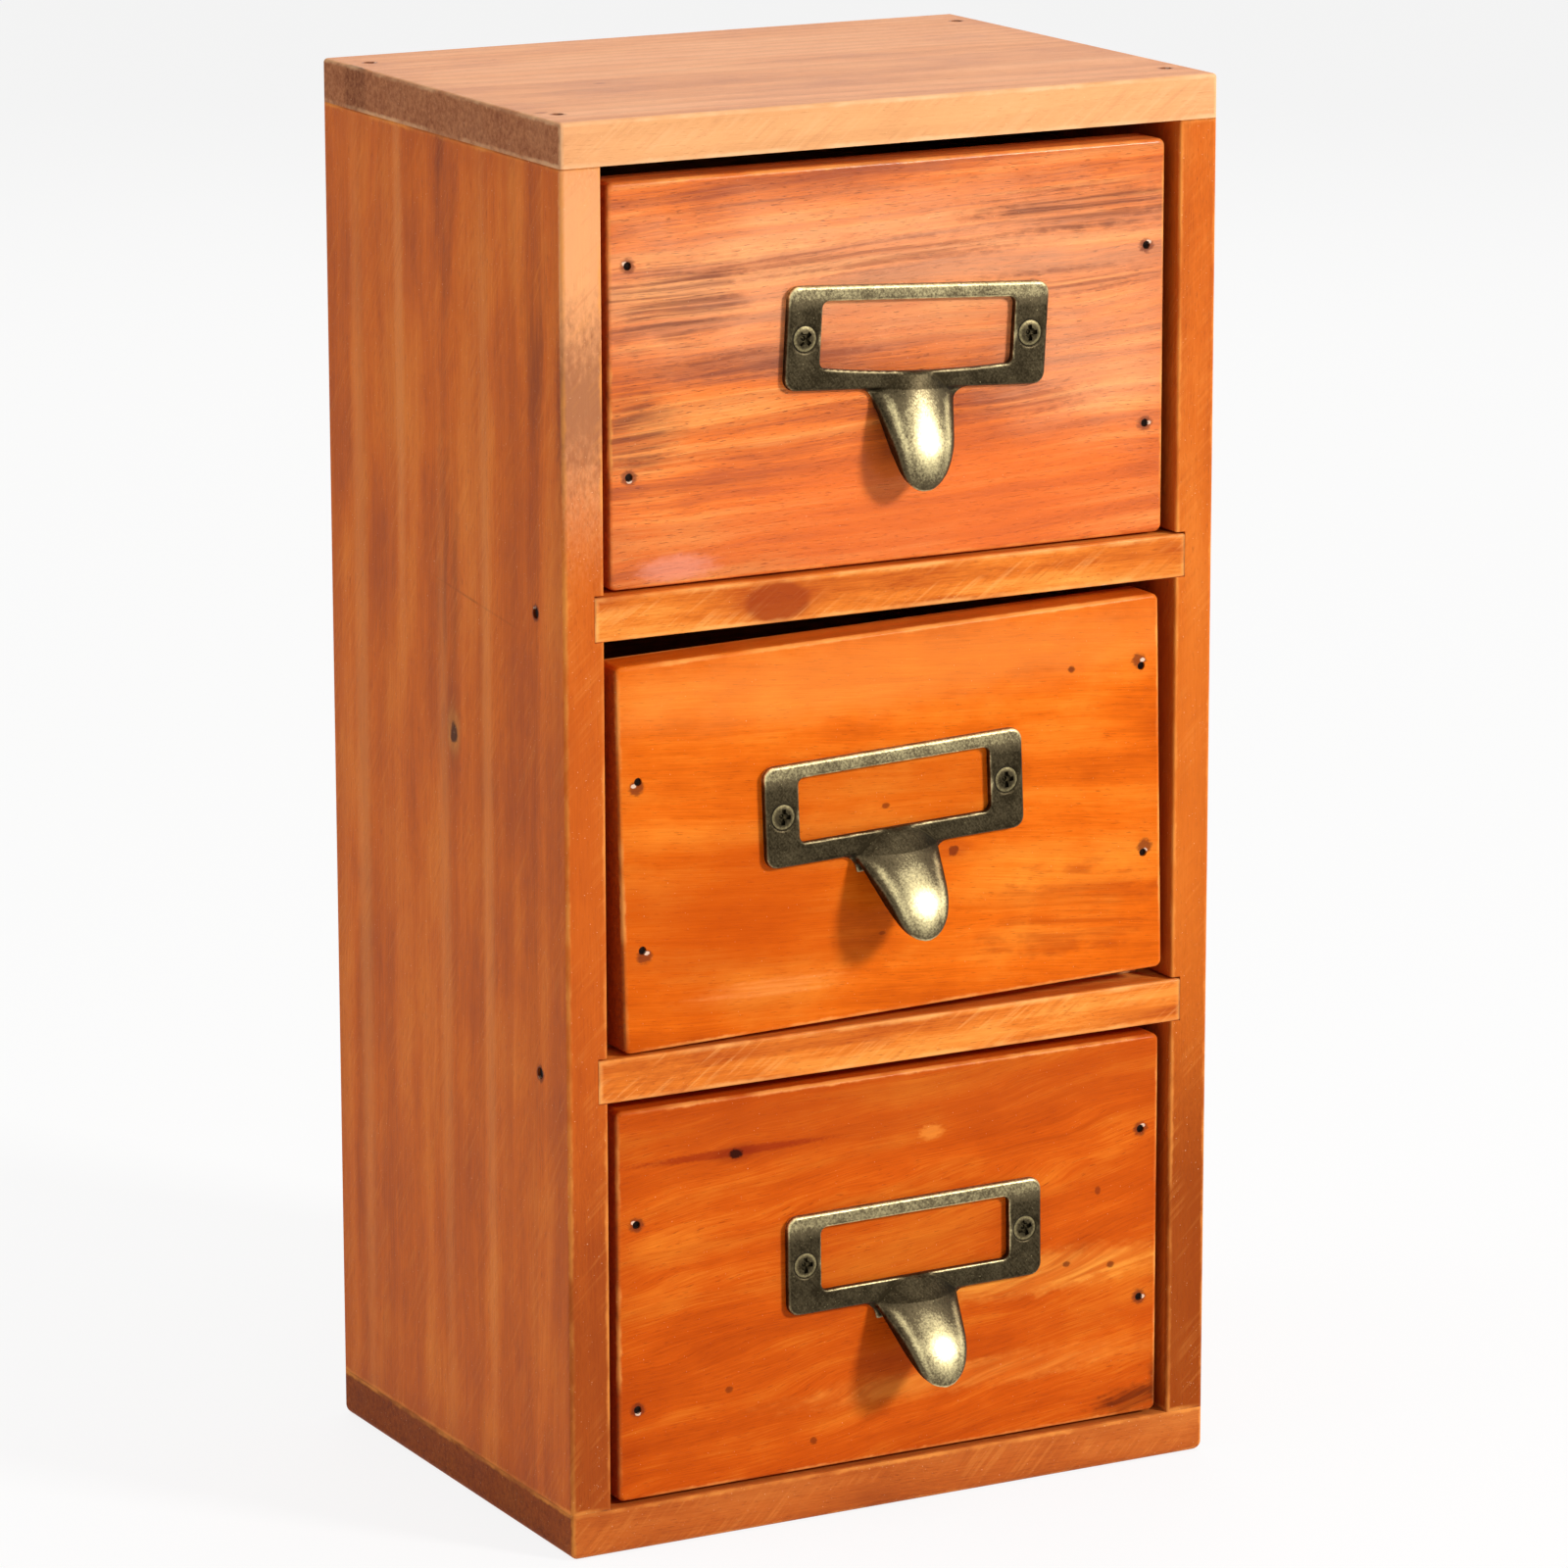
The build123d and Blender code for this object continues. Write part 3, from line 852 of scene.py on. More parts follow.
    def _recessed(self, sheet: NodeSheet, size: dict[str, Term], body: Term) -> Term:
        """Cuts the cross recess into the head.

        Args:
            sheet: Where the nodes go.
            size: The tree's sizes.
            body: The turned body.

        Returns:
            The body with its recess.
        """
        deep = size["cross_depth"] * 2
        cutters = []
        for long_x, long_y in ((True, False), (False, True)):
            wide = size["cross_length"] if long_x else size["cross_width"]
            tall = size["cross_length"] if long_y else size["cross_width"]
            box = sheet.node("GeometryNodeMeshCube", {}, {"Size": sheet.arrow(wide, tall, deep)})
            cutters.append(box)
        well = sheet.node(
            "GeometryNodeMeshCone",
            {},
            {
                "Vertices": 24,
                "Radius Top": size["cross_width"] * 1.25,
                "Radius Bottom": size["cross_width"] * 0.3,
                "Depth": size["cross_depth"] * 1.4,
            },
        )
        cutters.append(
            sheet.node(
                "GeometryNodeTransform",
                {},
                {"Geometry": well, "Translation": sheet.arrow(0.0, 0.0, size["cross_depth"] * -1.35)},
            )
        )
        cut = sheet.node("GeometryNodeMeshBoolean", {"operation": "DIFFERENCE", "solver": "EXACT"}, {"Mesh 1": body})
        for cutter in cutters:
            # The recess walls take the value -1, so they come out dark.
            darkened_recess = sheet.node(
                "GeometryNodeStoreNamedAttribute",
                {"data_type": "FLOAT", "domain": "POINT"},
                {"Geometry": cutter, "Name": "wear_and_light", "Value": -1.0},
            )
            sheet.feed(cut.socket.node.inputs["Mesh 2"], darkened_recess)
        return cut

    def set_in(self, node: str, body: str, metal: bpy.types.Material, spins: tuple[float, ...] = ()) -> None:
        """Puts a fastener wherever the CAD node has one, and lets them stand for it.

        Args:
            node: The CAD node.
            body: The body that it belongs to.
            metal: The material.
            spins: Each one's turn about its own axis, in degrees, from left to right.
        """
        places = sorted(fastener_places(node), key=lambda p: (round(p[0].x, 4), round(p[0].z, 4)))
        points = bpy.data.meshes.new(f"{node}_places")
        points.from_pydata([place for place, _ in places], [], [])
        for name, kind in (("facing", "FLOAT_VECTOR"), ("spin", "FLOAT")):
            points.attributes.new(name, kind, "POINT")
        for number, (_, way) in enumerate(places):
            points.attributes["facing"].data[number].vector = way
            points.attributes["spin"].data[number].value = math.radians(spins[number]) if spins else 0.0
        seedling = bpy.data.objects.new(f"{node}_seedling", points)
        bpy.context.scene.collection.objects.link(seedling)
        modifier = seedling.modifiers.new("lathe", "NODES")
        modifier.node_group = self.tree()
        keys = {i.name: i.identifier for i in modifier.node_group.interface.items_tree if i.in_out == "INPUT"}
        for size in self.LENGTHS:
            modifier[keys[size]] = getattr(self, size) * MM
        modifier[keys["wobble"]] = math.radians(self.wobble)
        modifier[keys["seed"]] = SEED
        modifier[keys["metal"]] = metal
        made = baked(seedling, f"{node}_made")
        shade_by_angle(made, 35)
        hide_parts(node)
        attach(made, body)
        log.info("%s: %d x %s", made.name, len(places), self.name)


def baked(source: bpy.types.Object, name: str) -> bpy.types.Object:
    """Turns an object and its live modifiers into a plain mesh, and removes the object.

    Args:
        source: The object with its modifiers.
        name: The finished piece's name.

    Returns:
        A new object at the origin.
    """
    bpy.context.view_layer.update()
    graph = bpy.context.evaluated_depsgraph_get()
    mesh = bpy.data.meshes.new_from_object(source.evaluated_get(graph), depsgraph=graph)
    mesh.name = name
    bpy.data.objects.remove(source)
    made = bpy.data.objects.new(name, mesh)
    bpy.context.scene.collection.objects.link(made)
    return made


def shade_by_angle(piece: bpy.types.Object, degrees: float) -> None:
    """Shades a piece smoothly, but keeps its edges that are sharper than an angle."""
    piece.data.shade_smooth()
    piece.data.set_sharp_from_angle(angle=math.radians(degrees))


def merged_copy(node: str) -> bmesh.types.BMesh:
    """A CAD node's mesh with its loose triangles joined."""
    copy = bmesh.new()
    copy.from_mesh(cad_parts[node].data)
    bmesh.ops.remove_doubles(copy, verts=copy.verts, dist=1e-6)
    return copy


@lru_cache(maxsize=None)
def fastener_places(node: str) -> list[tuple[Vector, Vector]]:
    """Finds each screw or nail of a CAD node.

    Args:
        node: The CAD node, which holds one solid for each fastener.

    Returns:
        For each, the middle of its head's top and the way that the head faces.
    """
    copy = merged_copy(node)
    left, found = set(copy.verts), []
    while left:
        group, edge = [], [left.pop()]
        while edge:
            vert = edge.pop()
            group.append(vert.co.copy())
            near = {e.other_vert(vert) for e in vert.link_edges} & left
            left -= near
            edge.extend(near)
        places = np.array(group)
        low, high = places.min(0), places.max(0)
        axis = int(np.argmax(high - low))
        reach = (high - low)[axis] * 0.03
        ends = [places[places[:, axis] < low[axis] + reach], places[places[:, axis] > high[axis] - reach]]
        sizes = [np.ptp(np.delete(end, axis, 1), axis=0).sum() for end in ends]
        side = int(sizes[1] > sizes[0])
        middle, way = (low + high) / 2, np.zeros(3)
        middle[axis] = (low, high)[side][axis]
        way[axis] = 2 * side - 1
        found.append((Vector(middle), Vector(way)))
    copy.free()
    return found


PULL_SCREW = Fastener(
    name="cross_head_screw",
    style=HeadStyle.CROSS,
    slot="screw_bronze",
    head_radius=2.82,
    crown=0.28,
    rim=0.12,
    taper=1.4,
    shank_radius=1.28,
    length=9.5,
    point=2.4,
    cross_length=3.4,
    cross_width=0.95,
    cross_depth=1.0,
    segments=48,
)
CASE_NAIL = Fastener(
    name="case_nail",
    style=HeadStyle.PLAIN,
    slot="nail_steel",
    head_radius=1.17,
    crown=0.12,
    rim=0.2,
    taper=0.3,
    shank_radius=0.74,
    length=24.8,
    point=2.0,
    wobble=0.5,
)
BRAD = Fastener(
    name="brad",
    style=HeadStyle.PLAIN,
    slot="nail_steel",
    head_radius=0.83,
    crown=0.1,
    rim=0.2,
    taper=0.3,
    shank_radius=0.54,
    length=21.8,
    point=1.6,
    wobble=0.4,
)
SHORT_BRAD = replace(BRAD, name="short_brad", length=9.8)


# ---------------------------------------------------------------------------------------------
# Label-holder pulls
# ---------------------------------------------------------------------------------------------


@dataclass(frozen=True)
class LabelPull:
    """A cast label holder: plate, window and hollow finger tongue. Lengths are in millimetres."""

    drawer: str
    voxel: float = 0.22
    soften: int = 7
    half_plate: float = 10.8
    bulge_place: float = 0.5
    bulge_reach: float = 0.42
    bulge_half_width: float = 5.0
    edge_radius: float = 0.75
    tongue_soften: int = 30
    top_bar_highlight: float = 0.44
    tip_pinch: float = 0.24

    RIDGE_ROWS = 24

    def build(self, metal: bpy.types.Material) -> None:
        """Casts the pull: a closed skin over the CAD solid, softened as a casting is.

        Args:
            metal: The material.
        """
        node = f"{self.drawer}_label_pull"
        mesh = bpy.data.meshes.new(f"{node}_core")
        copy = merged_copy(node)
        copy.to_mesh(mesh)
        copy.free()
        core = bpy.data.objects.new(f"{node}_core", mesh)
        bpy.context.scene.collection.objects.link(core)
        skin = core.modifiers.new("skin", "REMESH")
        skin.mode, skin.voxel_size, skin.use_smooth_shade = "VOXEL", self.voxel * MM, True
        file = core.modifiers.new("file", "SMOOTH")
        file.factor, file.iterations = 0.5, self.soften
        pull = baked(core, f"{node}_cast")
        pull.data.materials.clear()
        pull.data.materials.append(metal)
        pull.data.shade_smooth()
        self._round_tongue(pull.data)
        self._mark_wear_and_light(pull.data)
        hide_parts(node)
        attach(pull, self.drawer)
        log.info("%s: %d vertices", pull.name, len(pull.data.vertices))

    def _seat(self) -> tuple[np.ndarray, np.ndarray, np.ndarray]:
        """The plate's middle in millimetres, and the ways that its length and its height run."""
        heads = sorted((p for p, _ in fastener_places(f"{self.drawer}_pull_screws")), key=lambda p: p.x)
        run = (heads[1] - heads[0]).normalized()
        return np.array(heads[0] + heads[1]) / (2 * MM), np.array(run), np.array((-run.z, 0.0, run.x))

    @staticmethod
    def _edges(mesh: bpy.types.Mesh) -> tuple[np.ndarray, np.ndarray, np.ndarray]:
        """Both ends of a mesh's edges, and how many edges meet at each vertex."""
        edges = np.zeros(len(mesh.edges) * 2, int)
        mesh.edges.foreach_get("vertices", edges)
        ends = edges.reshape(-1, 2)
        return ends[:, 0], ends[:, 1], np.bincount(edges, minlength=len(mesh.vertices))

    @staticmethod
    def _places(mesh: bpy.types.Mesh) -> np.ndarray:
        """A mesh's vertices in millimetres."""
        place = np.zeros(len(mesh.vertices) * 3)
        mesh.vertices.foreach_get("co", place)
        return place.reshape(-1, 3) / MM

    def _round_tongue(self, mesh: bpy.types.Mesh) -> None:
        """Rounds the tongue's edges more than the plate's, and draws its tip in.

        Args:
            mesh: The casting.
        """
        middle, run, up = self._seat()
        place = self._places(mesh)
        down = (middle - place) @ up - self.half_plate
        drawn = self.tip_pinch * np.clip(down / down.max() * 2 - 1, 0.0, 1.0) ** 2
        place -= (drawn * ((place - middle) @ run))[:, None] * run
        share = 0.5 * np.clip((down + 0.5) / 3.0, 0.0, 1.0)[:, None]
        a, b, valence = self._edges(mesh)
        count = len(place)
        for _ in range(self.tongue_soften):
            near = [np.bincount(a, axis[b], count) + np.bincount(b, axis[a], count) for axis in place.T]
            place += share * (np.stack(near, 1) / valence[:, None] - place)
        mesh.vertices.foreach_set("co", (place * MM).ravel())
        mesh.update()

    def _mark_wear_and_light(self, mesh: bpy.types.Mesh) -> None:
        """Marks where fingers and corners have rubbed the pull bright, and paints light and shade on it: highlights
        on the tongue's bulge and ridge and on the plate's top bar, and shade on the tongue's flanks and neck.

        Args:
            mesh: The finished casting.
        """
        place = self._places(mesh)
        count = len(place)
        normal = np.zeros(count * 3)
        mesh.vertex_normals.foreach_get("vector", normal)
        normal = normal.reshape(-1, 3)
        a, b, valence = self._edges(mesh)
        step = place[a] - place[b]
        bend = ((normal[a] - normal[b]) * step).sum(1) / (step * step).sum(1)
        curve = (np.bincount(a, bend, count) + np.bincount(b, bend, count)) / valence
        for _ in range(3):
            curve = (np.bincount(a, curve[b], count) + np.bincount(b, curve[a], count)) / valence
        middle, run, up = self._seat()
        rel = place - middle
        side, high = rel @ run, rel @ up
        down = -high - self.half_plate
        least = np.where(down > 0, 0.22, 0.4)
        edge_rub = np.clip((curve * self.edge_radius - least) / 0.4, 0.0, 1.0)
        hollow = np.clip((-curve * self.edge_radius - 0.1) / 0.4, 0.0, 1.0)
        along = down / down.max()
        # The tongue's bulge is made brighter where it faces up and forward, towards the light: partly rubbed wear,
        # partly a painted highlight.
        front = np.clip(normal @ np.array((0.0, -0.94, 0.34)), 0.0, 1.0)
        bulge_rub_and_highlight = np.exp(-(((along - self.bulge_place) / self.bulge_reach) ** 2) - (side / self.bulge_half_width) ** 2)
        # Painted shade at the tongue's neck, in the crease where it leaves the plate.
        neck_shade = np.exp(-((down / 3.0) ** 2)) * (np.abs(side) < 14) * np.clip(-rel[:, 1] / 2.5, 0, 1)
        tongue = (down > 0) * 1.0
        wear_and_light = edge_rub * (0.8 - 0.3 * tongue) - hollow * 0.35
        # Painted reflection: a bright line along the ridge on each side of the tongue, where it faces the light.
        row = np.clip(along * self.RIDGE_ROWS, 0, self.RIDGE_ROWS - 1).astype(int)
        reach = np.full(self.RIDGE_ROWS, 1.0)
        np.maximum.at(reach, row, np.abs(side) * tongue)
        out = np.abs(side) / reach[row]
        ridge_highlight = np.exp(-(((out - 0.7) / 0.1) ** 2)) * np.clip(along * 6, 0, 1) * (1 - np.clip(along, 0, 1)) * 0.75
        # Painted shade on the tongue's outer flanks, which turn away from the light; the middle of the tongue is
        # lifted a little.
        flank_shade = np.clip((out - 0.78) / 0.12, 0, 1) * 0.16 - 0.1
        wear_and_light = wear_and_light + tongue * (bulge_rub_and_highlight * front * 0.82 + ridge_highlight * front - flank_shade) - neck_shade * 0.02
        # Painted highlight: the plate's top bar is made lighter, as it catches the light from above.
        wear_and_light = wear_and_light + self.top_bar_highlight * np.clip((high - 5.5) / 3.0, 0.0, 1.0)
        layer = mesh.attributes.new("wear_and_light", "FLOAT", "POINT")
        layer.data.foreach_set("value", np.clip(wear_and_light, -0.5, 1.0).astype(np.float32))


# ---------------------------------------------------------------------------------------------
# Finishes
# ---------------------------------------------------------------------------------------------

SIDE_WOOD = WoodFinish(
    name="side_wood",
    light="EA8636",
    middle="D46820",
    dark="A84A1A",
    ring="8E3C18",
    streaks=0.42,
    streak_width=12.0,
    rings=0.16,
    ring_gap=9.0,
    heart=(6.0, -38.0),
    lean=0.03,
    wander=5.0,
    fibre=1.0,
    pores=0.5,
    mottle=0.5,
    relief=0.6,
    saw_marks=0.35,
    saw_angle=35.0,
    wear=0.6,
    wear_colour="F29C48",
    halo=0.25,
)
# Painted reflection: the top board's colours are lighter and pinker than the sides', standing in for the glare of the
# light across the top.
TOP_WOOD_WITH_GLARE = replace(
    SIDE_WOOD,
    name="top_wood",
    light="F5B586",
    middle="E69E6C",
    dark="C07A52",
    ring="A05632",
    streaks=0.3,
    rings=0.22,
    ring_gap=4.0,
    heart=(-20.0, -30.0),
    saw_marks=0.4,
    saw_angle=25.0,
    wear=0.55,
    wear_width=1.1,
    wear_colour="FBC998",
    end_colour="6A3020",
    gloss=0.06,
    roughness=0.5,
    density=1.06,
    sheen=0.35,
)
BOTTOM_WOOD = replace(
    SIDE_WOOD,
    name="bottom_wood",
    light="DD8038",
    middle="C66526",
    dark="98451C",
    saw_marks=0.55,
    wear=0.75,
    end_colour="5E2818",
)
DIVIDER_WOOD = replace(
    SIDE_WOOD,
    name="divider_wood",
    light="F7A047",
    middle="E27A28",
    dark="B64E16",
    ring="9A4016",
    streaks=0.7,
    streak_width=5.0,
    saw_marks=0.8,
    saw_angle=22.0,
    wear=0.6,
    wear_width=1.3,
    wear_colour="FFB868",
    halo=0.0,
)
TOP_FRONT_WOOD = WoodFinish(
    name="top_drawer_wood",
    light="FA9E50",
    middle="EA7628",
    dark="AE5228",
    ring="7E3620",
    streaks=0.75,
    streak_width=3.6,
    rings=0.3,
    ring_gap=3.6,
    heart=(-34.0, -28.0),
    lean=-0.035,
    wander=3.2,
    fibre=1.2,
    pores=0.75,
    mottle=0.5,
    wear=0.65,
    wear_width=1.1,
    wear_colour="FFAE58",
    halo=0.2,
    gloss=0.16,
    roughness=0.36,
    relief=0.9,
    density=1.22,
)
MIDDLE_FRONT_WOOD = replace(
    TOP_FRONT_WOOD,
    name="middle_drawer_wood",
    light="F68C2A",
    middle="E66A0E",
    dark="BC4A04",
    ring="A23C06",
    streaks=0.34,
    streak_width=6.0,
    rings=0.14,
    ring_gap=7.0,
    heart=(30.0, -60.0),
    lean=0.1,
    fibre=0.95,
    pores=0.5,
    mottle=0.7,
    gloss=0.05,
    relief=0.5,
    density=1.07,
)
BOTTOM_FRONT_WOOD = replace(
    MIDDLE_FRONT_WOOD,
    name="bottom_drawer_wood",
    light="EC8626",
    middle="D0580E",
    dark="A63A06",
    ring="8E3008",
    streaks=0.3,
    streak_width=7.5,
    rings=0.14,
    mottle=0.5,
    heart=(-18.0, -35.0),
    lean=-0.14,
    wander=8.0,
)
BOX_WOOD = WoodFinish(
    name="drawer_box_wood",
    light="E2A45E",
    middle="CE8844",
    dark="A0622F",
    ring="8F5226",
    streaks=0.6,
    rings=0.45,
    ring_gap=4.2,
    wear=0.5,
    wear_colour="E8C08A",
    halo=0.2,
    end_colour="8C5430",
    gloss=0.05,
    roughness=0.62,
    relief=0.5,
    specks=0.0,
)
PANEL_WOOD = replace(
    BOX_WOOD,
    name="thin_panel",
    light="D68E54",
    middle="C2763C",
    dark="9C5828",
    ring="8A4A22",
    ring_gap=6.5,
    wander=3.0,
    end_colour="6A3A20",
)
ANTIQUE_BRASS = MetalFinish(
    name="antique_brass", dark="2C2518", middle="665A42", bright="E2D29C", base_rub=0.08, polished=0.4
)
SCREW_BRONZE = MetalFinish(
    name="screw_bronze", dark="16120C", middle="5F543C", bright="B5A677", base_rub=0.2, rough=0.42
)
NAIL_STEEL = MetalFinish(
    name="nail_steel", dark="140D0B", middle="34241E", bright="77655A", base_rub=0.1, rough=0.6, polished=0.5
)


# ---------------------------------------------------------------------------------------------
# The cabinet
# ---------------------------------------------------------------------------------------------


def hole_marks(node: str, lie: Lie, reach: float = 1.5) -> tuple[Patch, ...]:
    """Torn dark fibres and a pale chip round each nail hole of a board.

    Args:
        node: The CAD node with the nails.
        lie: How the board lies.
        reach: How far the torn fibres go, in millimetres.

    Returns:
        The marks, in the frame's axes.
    """
    marks = []
    for number, (place, _) in enumerate(fastener_places(node)):
        at = dict(zip("xyz", place / MM))
        along, across = at[lie.value[0]], at[lie.value[1]]
        turn = number * 2.4
        chip = (along + 0.9 * math.cos(turn), across + 0.8 * math.sin(turn))
        marks.append(Patch(along, across, reach * 1.1, reach, "6B2C16", 0.75, 0.55, 0.3))
        marks.append(Patch(*chip, 0.6, 0.42, "F3D3B8", 0.8, 0.5, 0.2))
    return tuple(marks)


@dataclass(frozen=True)
class Case:
    """The fixed case: boards, back panel and the nails that hold them."""

    body: str = "case"
    side_marks: tuple = (
        Patch(166.3, -4.0, 4.6, 2.7, "F0A050", 0.6, 0.4, 0.4),
        Knot(166.1, -4.0, 2.0, "2B120B", "A85A24", 0.9),
        Scratch((199.0, 15.9), (192.8, -44.7), 0.45),
        Patch(262.0, -44.0, 26.0, 5.0, "6B3020", 0.5, 0.6, 0.5, True),
        Patch(278.0, -2.0, 20.0, 3.5, "6B3020", 0.4, 0.6, 0.5, True),
        Patch(196.0, -3.0, 30.0, 5.0, "74361F", 0.35, 0.6, 0.5, True),
        Patch(150.0, -20.0, 120.0, 2.2, "EC9A55", 0.3, 0.4, 0.6),
        Patch(250.0, 20.0, 60.0, 2.0, "EC9A55", 0.35, 0.4, 0.6),
        Patch(150.0, 41.0, 130.0, 3.0, "EC9A55", 0.3, 0.4, 0.6),
        Patch(120.0, 1.0, 90.0, 2.5, "EC9A55", 0.25, 0.4, 0.6),
        Patch(262.0, -56.25, 40.0, 1.0, "FAB67E", 0.7, 0.3, 0.5),
        Patch(243.0, -56.25, 15.0, 2.5, "6E3020", 0.6, 0.9, 0.8),
        Patch(12.0, -56.25, 60.0, 1.0, "8E3E16", 0.62, 0.3, 0.6),
        Patch(150.0, -56.25, 60.0, 1.0, "C85A16", 0.5, 0.3, 0.6),
    )
    right_marks: tuple = (
        Patch(25.0, -56.25, 75.0, 1.2, "8A3A0C", 0.78, 0.3, 0.6),
        Patch(150.0, -56.25, 60.0, 1.0, "D8701E", 0.5, 0.3, 0.6),
    )
    top_marks: tuple = (
        Patch(0.0, -56.25, 90.0, 1.2, "F8BA78", 0.45, 0.2, 0.5),
        Patch(-72.7, -40.7, 1.4, 0.9, "8A4A2C", 0.6, 0.5, 0.4),
        Patch(-42.9, -7.8, 1.2, 0.8, "8A4A2C", 0.5, 0.5, 0.4),
        Patch(-76.2, 40.0, 0.8, 5.0, "2A100A", 0.8, 0.4, 0.3),
    )
    upper_marks: tuple = (
        Patch(-27.6, 0.0, 7.6, 400.0, "8E3212", 0.8, 0.1, 0.16, through=198.5, thickness=4.2),
        Patch(-27.6, 0.0, 10.5, 400.0, "B04A18", 0.4, 0.2, 0.3, through=198.5, thickness=5.8),
        Patch(40.0, -56.0, 2.4, 1.5, "FFE6C4", 0.8, 0.9, 0.3, through=193.7, thickness=0.5),
        Patch(45.5, -56.0, 2.8, 1.5, "FFE6C4", 0.8, 0.9, 0.3, through=193.7, thickness=0.5),
        Patch(50.0, -56.0, 1.2, 1.5, "FFE6C4", 0.7, 0.9, 0.3, through=193.9, thickness=0.4),
    )

    def boards(self) -> list[Board]:
        """The case's boards in the order they are dressed."""
        side_holes = hole_marks("divider_nails", Lie.UPRIGHT)
        top_holes = hole_marks("top_board_nails", Lie.FLAT)
        return [
            Board("top_board", Lie.FLAT, TOP_WOOD_WITH_GLARE, 1, marks=self.top_marks + top_holes),
            Board("bottom_board", Lie.FLAT, BOTTOM_WOOD, 2),
            Board("left_side", Lie.UPRIGHT, SIDE_WOOD, 3, marks=self.side_marks + side_holes),
            Board("right_side", Lie.UPRIGHT, SIDE_WOOD, 4, marks=self.right_marks + side_holes),
            Board("upper_divider", Lie.FLAT, DIVIDER_WOOD, 5, marks=self.upper_marks),
            Board("lower_divider", Lie.FLAT, DIVIDER_WOOD, 6),
            Board("back_panel", Lie.UPRIGHT_PANEL, PANEL_WOOD, 7),
        ]

    def build(self, nail: bpy.types.Material) -> None:
        """Dresses the boards and sets the nails.

        Args:
            nail: The nails' material.
        """
        for board in self.boards():
            board.dress()
        for node in ("top_board_nails", "bottom_board_nails", "divider_nails"):
            CASE_NAIL.set_in(node, self.body, nail)
        SHORT_BRAD.set_in("back_panel_brads", self.body, nail)


@dataclass(frozen=True)
class Drawer:
    """One drawer: its front, the box behind it, the pull and what holds them. Angles are in degrees."""

    name: str
    finish: WoodFinish
    number: int
    tilt: float = 0.0
    spins: tuple[float, float] = (0.0, 0.0)
    marks: tuple = ()

    def build(self, brass: bpy.types.Material, bronze: bpy.types.Material, nail: bpy.types.Material) -> None:
        """Dresses the boards, casts the pull and sets the screws and brads.

        Args:
            brass: The pull's material.
            bronze: The screws' material.
            nail: The brads' material.
        """
        marks = self.marks + self._window_shade() + hole_marks(f"{self.name}_front_brads", Lie.FACING)
        Board(f"{self.name}_front", Lie.FACING, self.finish, self.number, self.tilt, marks).dress()
        for step, part in enumerate(("left_side", "right_side")):
            Board(f"{self.name}_{part}", Lie.DRAWER_SIDE, BOX_WOOD, self.number + 1 + step).dress()
        Board(f"{self.name}_back", Lie.FACING, BOX_WOOD, self.number + 3).dress()
        Board(f"{self.name}_bottom_panel", Lie.FLAT, PANEL_WOOD, self.number + 4).dress()
        LabelPull(self.name).build(brass)
        PULL_SCREW.set_in(f"{self.name}_pull_screws", self.name, bronze, self.spins)
        BRAD.set_in(f"{self.name}_front_brads", self.name, nail)
        BRAD.set_in(f"{self.name}_back_brads", self.name, nail)
        SHORT_BRAD.set_in(f"{self.name}_bottom_brads", self.name, nail)

    def _window_shade(self) -> tuple[Patch, ...]:
        """Painted shade: a darker patch on the wood behind the label plate, seen through its window, where the plate
        shades it.
        """
        heads = [place / MM for place, _ in fastener_places(f"{self.name}_pull_screws")]
        middle = (heads[0] + heads[1]) / 2
        return (Patch(middle.x, middle.z, 27.0, 9.5, "B04A0C", 0.25, 0.1, 0.25),)


